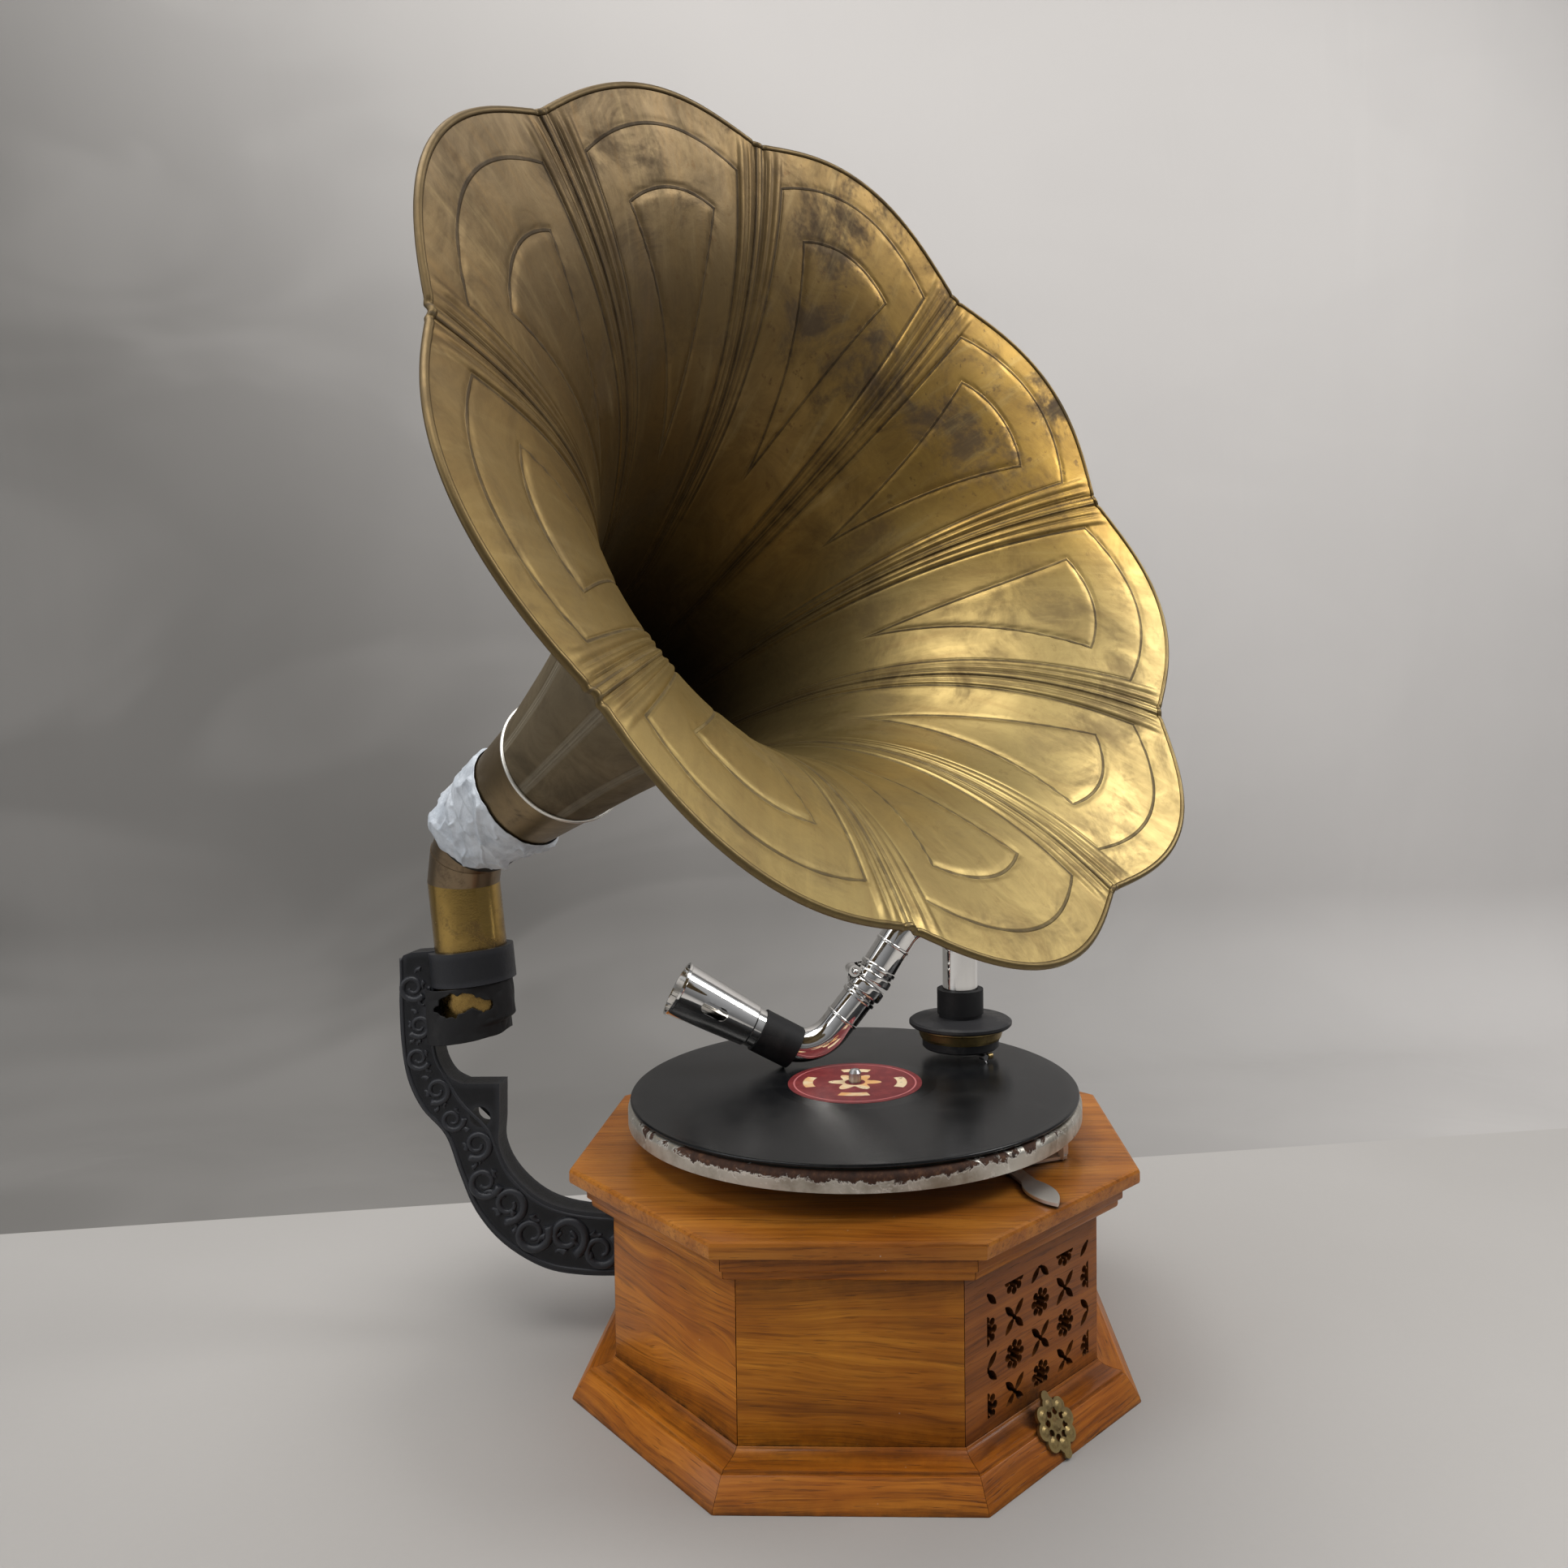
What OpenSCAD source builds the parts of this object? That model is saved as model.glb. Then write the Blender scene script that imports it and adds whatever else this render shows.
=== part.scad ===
// Horn gramophone with an octagonal wooden case, a brass flower horn on a cast bracket,
// and its tone arm lying loose on the record.
// Millimetres, +Z up, origin at the centre of the case on the floor, front flat towards -Y.

/* [Case] */
// Width of the case walls across opposite flats
case_flats = 252; // [244:1:258]
// Height of the underside of the lid board above the floor
lid_base_z = 113; // [112:0.5:118]
// Thickness of the eight wall boards
wall_t = 9; // [7:0.5:10]
// Thickness of the base board
base_t = 6; // [4:0.5:8]
// Width of the plinth across flats at the floor
plinth_flats = 294; // [286:1:304]
// Width of the plinth across flats at its small step
plinth_step_flats = 276; // [272:1:282]
// Height of the sloped face of the plinth
plinth_slope_h = 14.5; // [12:0.5:18]
// Whole height of the plinth
plinth_h = 18; // [17:0.5:24]
// Width of the moulding under the lid across flats
moulding_flats = 277; // [268:1:284]
// Height of the moulding under the lid
moulding_h = 14; // [10:0.5:18]
// Width of the lid board across flats
lid_flats = 293; // [286:1:300]
// Thickness of the lid board
lid_t = 8; // [7:0.5:10]
// Width of the brass rosette on the plinth
rosette_d = 25; // [18:0.5:27]

/* [Fretwork] */
// Spacing of the motifs along the panel
fret_pitch_u = 20.3; // [18:0.1:22]
// Spacing of the motifs up the panel
fret_pitch_z = 18; // [16:0.1:20]
// Height of the lowest edge of the fretwork above the floor
fret_z0 = 24; // [22:0.5:28]
// Height of the fretwork field
fret_h = 59; // [50:0.5:62]
// Distance of the fretwork field's middle from the middle of its panel
fret_shift = 4; // [0:0.5:6]
// Length of one petal of a cross motif
petal_len = 9.4; // [7:0.1:10]
// Width of one petal of a cross motif
petal_w = 3.6; // [2.4:0.1:4.2]
// Radius of the flower motif's centre
flower_r = 3.6; // [2.4:0.1:4]
// Radius at which the eight lobes of a flower sit
lobe_ring_r = 5.2; // [4.4:0.1:5.6]
// Radius of one lobe of a flower
lobe_r = 1.9; // [1.5:0.1:2]

/* [Turntable] */
// Diameter of the ten inch record
record_d = 250; // [240:1:254]
// Thickness of the record
record_t = 2; // [1.5:0.1:3]
// Diameter of the paper label
label_d = 76; // [60:1:90]
// Diameter of the turntable
platter_d = 252.6; // [246:0.2:256]
// Height of the turntable's turned-down rim
platter_rim_h = 9.5; // [7:0.5:10]
// Sheet thickness of the turntable
platter_t = 1.6; // [1.2:0.1:2.5]
// Clear height between the lid and the rim of the turntable
platter_gap = 13.5; // [12:0.5:18]
// Thickness of the felt mat
mat_t = 1.2; // [0.8:0.1:2]
// Diameter of the turntable spindle
spindle_d = 7.1; // [6.6:0.1:7.6]

/* [Horn bracket] */
// Thickness of the cast bracket
bracket_t = 14; // [10:0.5:18]
// Distance of the bracket ring's axis from the turntable axis, at mid ring
ring_x = 217.5; // [212:0.5:222]
// Height of the middle of the bracket ring
ring_z = 216; // [214:0.5:219]
// Height of the bracket ring
ring_h = 19; // [14:0.5:22]
// Outer diameter of the bracket ring
ring_d = 46; // [44:0.5:50]
// Lean of the ring and the horn pipe towards the left, in degrees
pipe_lean = 5; // [0:0.5:6]
// Diameter of the hole in the bracket's boss
boss_hole_d = 11.8; // [8:0.2:13]
// Thickness of the bracket's foot plate
foot_t = 5; // [4:0.5:8]
// Width of the bracket's foot plate
foot_w = 40; // [34:1:46]
// Height of the bracket's foot plate
foot_h = 50; // [48:1:58]

/* [Horn] */
// Outer diameter of the horn pipe
pipe_d = 39; // [36:0.5:40]
// Wall of the horn pipe and elbow
pipe_wall = 1.2; // [0.8:0.1:2]
// Height of the elbow's bend point above the middle of the ring
elbow_rise = 68; // [64:1:76]
// Distance from the bend point to the first mitre
mitre_back = 20; // [17:0.5:21]
// Compass direction of the horn, from +X towards +Y, in degrees
horn_azimuth = -42.7; // [-60:0.1:-20]
// Rise of the horn above level, in degrees
horn_rise = 23.2; // [15:0.1:30]
// Distance from the bend point to the start of the bell
bell_start = 122; // [118:1:126]
// Distance from the bend point to the rim
bell_end = 356; // [345:1:366]
// Radius of the bell at its start
bell_r0 = 32.2; // [31.4:0.1:33]
// Radius of the rim at the notches between petals
notch_r = 162.8; // [154:0.2:170]
// How far each petal bulges past the notch radius
petal_bulge = 11; // [6:0.5:14]
// How far the middle of each petal's edge curls forward past the seams
petal_curl = 5; // [2:0.5:7]
// How far the bell's middle line bows upwards between neck and rim
bell_bow = 4.5; // [0:0.5:6]
// How strongly the bell opens near its rim
flare_power = 3.4; // [2.8:0.1:4]
// Number of petals
petals = 9; // [8:1:10]
// Turn of the first petal seam about the horn's axis, in degrees
petal_turn = 180.2; // [170:0.1:190]
// Sheet thickness of the bell
bell_wall = 1.3; // [1:0.1:2]

/* [Tone arm] */
// Place along X where the arm's sleeve rests on the record
arm_rest_x = -45; // [-50:1:-40]
// Place along Y where the arm's sleeve rests on the record
arm_rest_y = 30; // [26:1:34]
// Turn of the arm about the upright, in degrees
arm_turn = 13.6; // [8:0.2:18]
// Outer diameter of the arm's open mouth
mouth_d = 32; // [28:0.5:34]
// Length of the cone from the mouth to the end of the sleeve
cone_len = 79; // [74:0.5:84]
// Slope of the cone down from the mouth, in degrees
cone_slope = 30; // [28:0.5:33]
// Outer diameter of the lower arm tube
tube_d = 20; // [19:0.2:20.6]
// Wall of the arm tubes
tube_wall = 1; // [0.8:0.1:1.4]
// Radius of the lower bend, at the tube's centre line
bend_r = 26; // [24:0.5:27]
// Direction of the tube after the lower bend, in degrees above level
tube_rise = 50; // [47:0.5:52]
// Length of the straight tube after the lower bend, up to the knuckle
riser_len = 34; // [32:0.5:37]
// Outer diameter of the gooseneck
neck_d = 21.6; // [21:0.2:22.2]
// Direction of the gooseneck's first straight, in degrees above level
neck_rise = 56; // [53:0.5:59]
// Length of the gooseneck's first straight
neck_len = 33.6; // [31:0.5:36]
// Radius of the gooseneck's bend, at its centre line
neck_r = 21; // [20:0.5:23]
// Outer diameter of the rubber sleeve between cone and tube
sleeve_d = 25.8; // [25:0.2:27]
// Length of the rubber sleeve between cone and tube
sleeve_len = 24.5; // [20:0.5:27]

/* [Soundbox] */
// Diameter of the soundbox's back plate
soundbox_d = 63; // [58:0.5:68]
// Thickness of the soundbox's back plate
soundbox_back_t = 4; // [3:0.2:5]
// Diameter of the brass housing
housing_d = 54; // [50:0.5:56]
// Height of the brass housing
housing_h = 8; // [7:0.5:10]
// Diameter of the black front ring
front_ring_d = 47; // [44:0.5:49]
// Height of the black front ring
front_ring_h = 5.5; // [4:0.5:7]
// Height of the back plate's underside above the record
soundbox_clear = 19; // [18:0.2:21]
// Outer diameter of the soundbox's rubber sleeve
box_sleeve_d = 28.4; // [26:0.2:30]
// Direction of the stylus bar about the soundbox's axis, in degrees
stylus_turn = -68; // [-90:1:0]

/* [Brake lever] */
// Width of the lever's oval finger plate
lever_w = 14; // [10:0.5:16]
// Length of the lever's oval finger plate
lever_len = 34; // [28:1:38]
// Thickness of the lever
lever_t = 1.6; // [1.2:0.1:2.4]

/* [Motor] */
// Tooth size of the barrel stage
module_barrel = 0.9; // [0.88:0.01:0.92]
// Teeth of the great gear on the barrel
teeth_great = 72; // [70:1:74]
// Tooth size of the spindle stage
module_spindle = 0.8; // [0.78:0.01:0.82]
// Teeth of the idler's wheel
teeth_idler = 60; // [58:1:62]
// Teeth of the two pinions
teeth_pinion = 12; // [12:1:12]
// Teeth of the worm wheel on the spindle
teeth_worm = 50; // [48:1:52]
// Play between meshing teeth
backlash = 0.2; // [0.16:0.01:0.24]
// Outer diameter of the spring barrel
barrel_d = 64; // [58:1:66]
// Height of the spring barrel
barrel_h = 21; // [18:0.5:22]
// Height of the winding shaft above the floor
crank_z = 66; // [65:0.5:67]
// Reach of the crank from its shaft to its grip
crank_reach = 52; // [44:1:54]
// Diameter of the crank's grip
grip_d = 17; // [14:0.5:20]

/* [Hidden] */
$fn = 96;

// Small gap between pieces that only lie against each other
seat_gap = 0.05;
// Hair's breadth between glued trim and the walls
trim_gap = 0.01;
// Radial play of a shaft in its hole
run_gap = 0.06;
// Clear gap between pieces that move past each other
move_gap = 0.4;
// Overrun of a cutting shape past the face that it cuts
cut = 1;
// Angle of one side of the octagon
side_turn = 45;

// Places worked out from the sizes above
wall_half = case_flats / 2;
lid_top_z = lid_base_z + lid_t;
platter_rim_z = lid_top_z + platter_gap;
platter_top_z = platter_rim_z + platter_rim_h;
record_base_z = platter_top_z + mat_t;
record_top_z = record_base_z + record_t;
spindle_top_z = record_top_z + 8;

// Horn directions
pipe_axis = [-sin(pipe_lean), 0, cos(pipe_lean)];
ring_mid = [-ring_x, 0, ring_z];
bend_point = ring_mid + elbow_rise * pipe_axis;
horn_axis = [cos(horn_rise) * cos(horn_azimuth), cos(horn_rise) * sin(horn_azimuth), sin(horn_rise)];
bend_normal = cross(pipe_axis, horn_axis) / norm(cross(pipe_axis, horn_axis));
bend_angle = acos(pipe_axis * horn_axis);
sleeve_r = 25.2;
sleeve_s0 = 26;
sleeve_s1 = 66;
neck_s0 = 58;
neck_r0 = 26.8;

function turned(v, a) = v * cos(a) + cross(bend_normal, v) * sin(a);
function compass(v) = atan2(v.y, v.x);
function polar(v) = atan2(norm([v.x, v.y]), v.z);

gore_1 = turned(pipe_axis, bend_angle / 3);
gore_2 = turned(pipe_axis, 2 * bend_angle / 3);
mitre_1 = bend_point - mitre_back * pipe_axis;
mitre_3 = bend_point + mitre_back * horn_axis;
gore_len = norm(mitre_3 - mitre_1) / norm(gore_1 + gore_2);
mitre_2 = mitre_1 + gore_len * gore_1;
pipe_low = ring_mid - 31 * pipe_axis;

// Moves a shape whose axis is +Z so that it starts at p and points along v
module aim(p, v) {
    translate(p) rotate([0, polar(v), compass(v)]) children();
}

module tube(outer_d, inner_d, h) {
    difference() {
        cylinder(d = outer_d, h = h);
        translate([0, 0, -cut]) cylinder(d = inner_d, h = h + 2 * cut);
    }
}

module octagon(flats) {
    rotate(side_turn / 2) circle(d = flats / cos(side_turn / 2), $fn = 8);
}

// Eight mitred lengths of a moulding, from a section drawn as [half flats, height]
module octagon_ring(section) {
    rotate([0, 0, side_turn / 2])
        rotate_extrude($fn = 8)
            polygon([for (p = section) [p.x / cos(side_turn / 2), p.y]]);
}

// Smooth curve through a list of points, with some steps to each span
function spline_at(p, i, t) =
    let (n = len(p) - 1, a = p[max(i - 1, 0)], b = p[i], c = p[min(i + 1, n)], d = p[min(i + 2, n)])
    0.5 * (2 * b + (c - a) * t + (2 * a - 5 * b + 4 * c - d) * t * t + (3 * b - a - 3 * c + d) * t * t * t);
function spline(p, steps) = concat(
    [for (i = [0:len(p) - 2]) for (k = [0:steps - 1]) spline_at(p, i, k / steps)], [p[len(p) - 1]]);

// Case

module base_board() {
    color("sienna") linear_extrude(base_t) octagon(case_flats);
}

plinth_lip = 1.4;
slope_low = [plinth_flats / 2 - 0.6, 2];
slope_high = [plinth_step_flats / 2 + plinth_lip, plinth_slope_h - plinth_lip];
slope_angle = atan2(slope_low.x - slope_high.x, slope_high.y - slope_low.y);

module plinth() {
    step = plinth_step_flats / 2;
    rise = plinth_h - plinth_slope_h;
    cove_top = wall_half + 0.6;
    back = wall_half + trim_gap;
    color("peru") octagon_ring(concat(
        [[back, 0], [plinth_flats / 2, 0], slope_low, slope_high, [step, slope_high.y]],
        [for (a = [0:30:90]) [cove_top + (step - cove_top) * (1 - sin(a)), plinth_slope_h
            + rise * (1 - cos(a))]],
        [[back, plinth_h]]));
}

// One wall board, mitred at both ends, facing +X before it is turned
module wall_board() {
    slope = tan(side_turn / 2);
    inner = wall_half - wall_t;
    translate([0, 0, base_t])
        linear_extrude(lid_base_z - base_t)
            polygon([[inner, -inner * slope], [wall_half, -wall_half * slope],
                     [wall_half, wall_half * slope], [inner, inner * slope]]);
}

module front_panel() {
    color("goldenrod") rotate([0, 0, -90]) wall_board();
}

module right_panel() {
    color("goldenrod") wall_board();
}

module back_right_panel() {
    color("goldenrod") rotate([0, 0, side_turn]) wall_board();
}

module back_panel() {
    color("goldenrod") difference() {
        rotate([0, 0, 90]) wall_board();
        translate([barrel_x, wall_half - wall_t - cut, crank_z])
            rotate([-90, 0, 0]) cylinder(d = shaft_hole_d, h = wall_t + 2 * cut);
    }
}

module back_left_panel() {
    color("goldenrod") rotate([0, 0, 3 * side_turn]) wall_board();
}

module left_panel() {
    color("goldenrod") rotate([0, 0, 180]) wall_board();
}

module front_left_panel() {
    color("goldenrod") rotate([0, 0, -3 * side_turn]) wall_board();
}

// Fretwork: crosses and eight-lobed flowers in turn, cut off by the edge of the field
module petal() {
    r = (petal_len * petal_len / 4 + petal_w * petal_w / 4) / petal_w;
    intersection() {
        translate([petal_len / 2, r - petal_w / 2]) circle(r = r, $fn = 64);
        translate([petal_len / 2, petal_w / 2 - r]) circle(r = r, $fn = 64);
    }
}

module cross_motif() {
    circle(r = petal_w * 0.42, $fn = 32);
    for (a = [45:90:315]) rotate(a) translate([0.35, 0]) petal();
}

module flower_motif() {
    circle(r = flower_r, $fn = 32);
    for (a = [0:45:315]) rotate(a) translate([lobe_ring_r, 0]) circle(r = lobe_r, $fn = 24);
}

module fret_field() {
    intersection() {
        translate([-2 * fret_pitch_u, 0]) square([4 * fret_pitch_u, fret_h]);
        for (i = [-2:2], j = [0:4])
            translate([i * fret_pitch_u, fret_h - j * fret_pitch_z])
                if ((i + j) % 2 == 0) cross_motif(); else flower_motif();
    }
}

module fretwork_panel() {
    color("peru") rotate([0, 0, -side_turn]) difference() {
        wall_board();
        translate([wall_half - wall_t - cut, fret_shift, fret_z0])
            rotate([90, 0, 90]) linear_extrude(wall_t + 2 * cut) fret_field();
    }
}

module top_moulding() {
    half = moulding_flats / 2;
    z0 = lid_base_z - moulding_h;
    bead = 2.2;
    back = wall_half + trim_gap;
    color("sienna") octagon_ring([[back, z0], [half - 2 * bead, z0], [half - bead, z0 + bead],
        [half - bead, z0 + 2 * bead], [half, z0 + 2.4 * bead], [half, lid_base_z - trim_gap], [back,
            lid_base_z - trim_gap]]);
}

module lid_board() {
    chamfer = 1;
    half = lid_flats / 2;
    bore_r = spindle_d / 2 + 4;
    color("peru") difference() {
        octagon_ring([[0, lid_base_z], [half - chamfer, lid_base_z], [half, lid_base_z + chamfer],
            [half, lid_top_z - chamfer], [half - chamfer, lid_top_z], [0, lid_top_z]]);
        translate([0, 0, lid_base_z - cut]) cylinder(r = bore_r, h = lid_t + 2 * cut);
    }
}

// The pierced rosette lies on the sloped face of the plinth, on the same side as the fretwork
rosette_aside = 3.6;
rosette_t = 1.8;

module rosette() {
    leaves = 8;
    leaf_r = rosette_d * 0.16;
    mid_r = rosette_d * 0.34;
    sink = 0.3;
    rotate([0, 0, -side_turn]) translate([slope_high.x + seat_gap, -rosette_aside, slope_high.y])
        rotate([0, 90 - slope_angle, 0]) color("gold") {
            linear_extrude(rosette_t) difference() {
                union() {
                    circle(r = mid_r);
                    for (k = [0:leaves - 1]) rotate(k * 360 / leaves) translate([mid_r, 0])
                        circle(r = leaf_r, $fn = 32);
                    for (side = [-1, 1]) translate([side * rosette_d / 2, 0]) circle(r = leaf_r * 0.62,
                        $fn = 32);
                }
                for (k = [0.5:1:leaves - 0.5]) rotate(k * 360 / leaves)
                    translate([mid_r * 0.66, 0]) circle(r = leaf_r * 0.42, $fn = 24);
            }
            translate([0, 0, rosette_t - sink]) cylinder(d1 = rosette_d * 0.26, d2 = rosette_d * 0.14,
                h = 1.6, $fn = 48);
            for (k = [0:leaves - 1]) rotate([0, 0, k * 360 / leaves])
                translate([mid_r, 0, rosette_t - sink]) cylinder(r1 = leaf_r * 0.72, r2 = leaf_r * 0.3,
                    h = 1.1, $fn = 32);
        }
}

// Bracket, drawn in the upright plane through the turntable axis as [x, z]

foot_z = 32;
bracket_outer = [[-foot_t - wall_half + 1, 39], [-154.6, 39.2], [-177.5, 43.4], [-200.3, 57.1],
    [-215.9, 75.9], [-224.9, 97.6], [-232.5, 119.3], [-245.8, 134.8], [-253.6, 152],
    [-256.7, 173.3], [-257.3, 196]];
bracket_inner = [[-238.6, 196], [-238.6, 186.8], [-236.2, 165.3], [-230.5, 153.6], [-222.5, 148.8]];
bracket_root = [[-201.2, 148.8], [-201.6, 128], [-202, 113], [-194.8, 97.6], [-179.6, 83.5],
    [-160.5, 76.5], [-foot_t - wall_half + 1, 73.5]];
boss_hole_x = -212.5;
boss_hole_z = 129.8;
foot_screw_y = foot_w / 2 - 7;
foot_screw_dz = foot_h / 2 - 7;
foot_screw_d = 4;

module bracket_profile() {
    ring_low = ring_z - ring_h / 2;
    ring_high = ring_z + ring_h / 2;
    polygon(concat(spline(bracket_outer, 5),
        [[-256.3, ring_high - 7], [-254.6, ring_high - 3.4], [-250.5, ring_high - 2], [-236, ring_high - 1],
         [-ring_x, ring_high - 1], [-ring_x, ring_low + 2], [-235, ring_low + 1], [-237.6, ring_low - 3]],
        spline(bracket_inner, 5), spline(bracket_root, 5)));
}

module horn_bracket() {
    color([0.09, 0.09, 0.1]) difference() {
        union() {
            translate([0, bracket_t / 2, 0]) rotate([90, 0, 0]) linear_extrude(bracket_t) bracket_profile();
            aim(ring_mid - ring_h / 2 * pipe_axis, pipe_axis) cylinder(d = ring_d, h = ring_h);
            translate([-wall_half - foot_t, -foot_w / 2, foot_z]) cube([foot_t - seat_gap, foot_w, foot_h]);
        }
        aim(ring_mid - ring_h * pipe_axis, pipe_axis) cylinder(d = pipe_d + 2 * run_gap, h = 2 * ring_h);
        translate([boss_hole_x, bracket_t, boss_hole_z])
            rotate([90, 0, 0]) cylinder(d = boss_hole_d, h = 2 * bracket_t);
        for (y = [-foot_screw_y, foot_screw_y], z = [-foot_screw_dz, foot_screw_dz])
            translate([-wall_half - foot_t - cut, y, foot_z + foot_h / 2 + z])
                rotate([0, 90, 0]) cylinder(d = foot_screw_d + 0.4, h = foot_t + 2 * cut, $fn = 32);
    }
}

// Round-headed screws that hold the foot plate, seen from outside; their shanks stop at the wall
module bracket_screws() {
    head_d = 8;
    color("dimgray") for (y = [-foot_screw_y, foot_screw_y], z = [-foot_screw_dz, foot_screw_dz])
        translate([-wall_half - foot_t, y, foot_z + foot_h / 2 + z]) {
            translate([seat_gap, 0, 0]) rotate([0, 90, 0]) cylinder(d = foot_screw_d,
                h = foot_t - 2 * seat_gap, $fn = 32);
            rotate([0, -90, 0]) difference() {
                rotate_extrude($fn = 32) intersection() {
                    translate([0, -2.4]) circle(d = 10.4, $fn = 48);
                    square([head_d / 2, 4]);
                }
                translate([-head_d, -0.6, 1.6]) cube([2 * head_d, 1.2, 3]);
            }
        }
}

// Horn pipe and elbow

module horn_pipe() {
    run = norm(mitre_1 - pipe_low) ;
    bisector = (pipe_axis + gore_1) / norm(pipe_axis + gore_1);
    color("darkgoldenrod") difference() {
        aim(pipe_low, pipe_axis) tube(pipe_d, pipe_d - 2 * pipe_wall, run + pipe_d / 3);
        aim(mitre_1 - seat_gap / 2 * pipe_axis, bisector) translate([-pipe_d, -pipe_d, 0]) cube(2 * pipe_d);
    }
}

// One length of the elbow between two mitre planes, given by their points and normals
module gore(p, q, v, np, nq, d) {
    difference() {
        aim(p - d / 3 * v, v) tube(d, d - 2 * pipe_wall, norm(q - p) + 2 * d / 3);
        aim(p, -np) translate([-d, -d, 0]) cube(2 * d);
        aim(q, nq) translate([-d, -d, 0]) cube(2 * d);
    }
}

elbow_end = bend_point + (sleeve_s0 + 20) * horn_axis;
// The middle length is a little narrower and laps inside its neighbours
gore_lap = 0.6;
gore_step = 0.5;

module horn_elbow() {
    n1 = (pipe_axis + gore_1) / norm(pipe_axis + gore_1);
    n2 = (gore_1 + gore_2) / norm(gore_1 + gore_2);
    n3 = (gore_2 + horn_axis) / norm(gore_2 + horn_axis);
    color("saddlebrown") {
        gore(mitre_1, mitre_2, gore_1, n1, n2, pipe_d);
        gore(mitre_2 - gore_lap * n2, mitre_3 + gore_lap * n3, gore_2, n2, n3, pipe_d - gore_step);
        gore(mitre_3, elbow_end, horn_axis, n3, horn_axis, pipe_d);
    }
}

// Rubber collar on the pipe's lower end; it hangs a little askew and has a window at the front
collar_lean = 9;
collar_axis = [-sin(collar_lean), 0, cos(collar_lean)];
collar_low = [-ring_x + 9.2, 0, ring_z - 38.5];
collar_h = 27;
collar_d = 45;

module pipe_collar() {
    wall = 1.6;
    window_w = 24;
    color([0.07, 0.07, 0.07]) difference() {
        aim(collar_low, collar_axis) cylinder(d = collar_d, h = collar_h);
        aim(pipe_low - 20 * pipe_axis, pipe_axis) cylinder(d = pipe_d + 2 * seat_gap, h = 80);
        aim(collar_low - cut * collar_axis, collar_axis) cylinder(d = collar_d - 4 * wall, h = 8);
        translate([-ring_x - 13, -collar_d, ring_z - 24]) cube([window_w, collar_d - 12, 11]);
        aim(ring_mid - (ring_h / 2 + move_gap) * pipe_axis, pipe_axis)
            cylinder(d = 2 * collar_d, h = collar_h);
    }
}

// Horn sleeve, neck and bell, all on the horn's axis

module on_horn() {
    aim(bend_point, horn_axis) children();
}

module horn_sleeve() {
    color([0.06, 0.06, 0.06]) on_horn() translate([0, 0, sleeve_s0])
        tube(2 * sleeve_r, pipe_d + 2 * seat_gap, sleeve_s1 - sleeve_s0);
}

module horn_neck() {
    wall = bell_wall;
    color("darkgoldenrod") on_horn() rotate_extrude()
        polygon([[neck_r0 - wall, neck_s0], [neck_r0, neck_s0], [bell_r0, bell_start - seat_gap],
                 [bell_r0 - wall, bell_start - seat_gap]]);
}

module neck_ring() {
    bead = 1.2;
    inner = bell_r0 * 1.014 + seat_gap;
    color("gold") on_horn() rotate_extrude()
        polygon([for (a = [-90:15:90]) [inner + bead * cos(a), bell_start + bead * (1 + sin(a))]]);
}

// Bell: nine petals side by side; a petal's edge swells and curls between its two seams
bell_rings = 20;
petal_steps = 8;
petal_shape = 1.19;
petal_angle = 360 / petals;
seam_gap = 0.04;
// Share of the full bulge that each petal has, round from the first
bulge_share = [1, 1, 1, 1.05, 1, 0.9, 0.86, 0.9, 0.32, 1];

// Radius of the bell at the seams, from its start at t = 0 to the rim at t = 1
bell_cone = 34;
function bell_radius(t) =
    bell_r0 + bell_cone * t + (notch_r - bell_r0 - bell_cone) * (0.32 * pow(t, 2) + 0.68 * pow(t,
        flare_power));
function swell(t, k) = petal_bulge * bulge_share[k] / notch_r * (0.1 + 0.9 * pow(t, 2));
function lobe(j) = pow(abs(sin(180 * j / petal_steps)), petal_shape);
function bell_s(t) = bell_start + (bell_end - bell_start) * (sin(90 * pow(t, 0.97)) + t) / 2;
function bell_lean(i) = let (a = max(i - 1, 0) / bell_rings, b = min(i + 1, bell_rings) / bell_rings)
    atan2(bell_radius(b) - bell_radius(a), bell_s(b) - bell_s(a));

// Point of petal k at ring i and step j; the inner face is set back square to the skin
function bell_point(i, k, j, inset) =
    let (t = i / bell_rings,
         r = bell_radius(t) * (1 + swell(t, k) * lobe(j)) - inset * cos(bell_lean(i)),
         edge = j == 0 ? 1 : j == petal_steps ? -1 : 0,
         a = petal_turn - (k + j / petal_steps) * petal_angle - edge * seam_gap / r * 90 / PI)
    [r * cos(a) - bell_bow * sin(180 * t), r * sin(a),
     bell_s(t) + petal_curl * lobe(j) * t * t + (i == 0 ? 0 : inset * sin(bell_lean(i)))];

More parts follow.
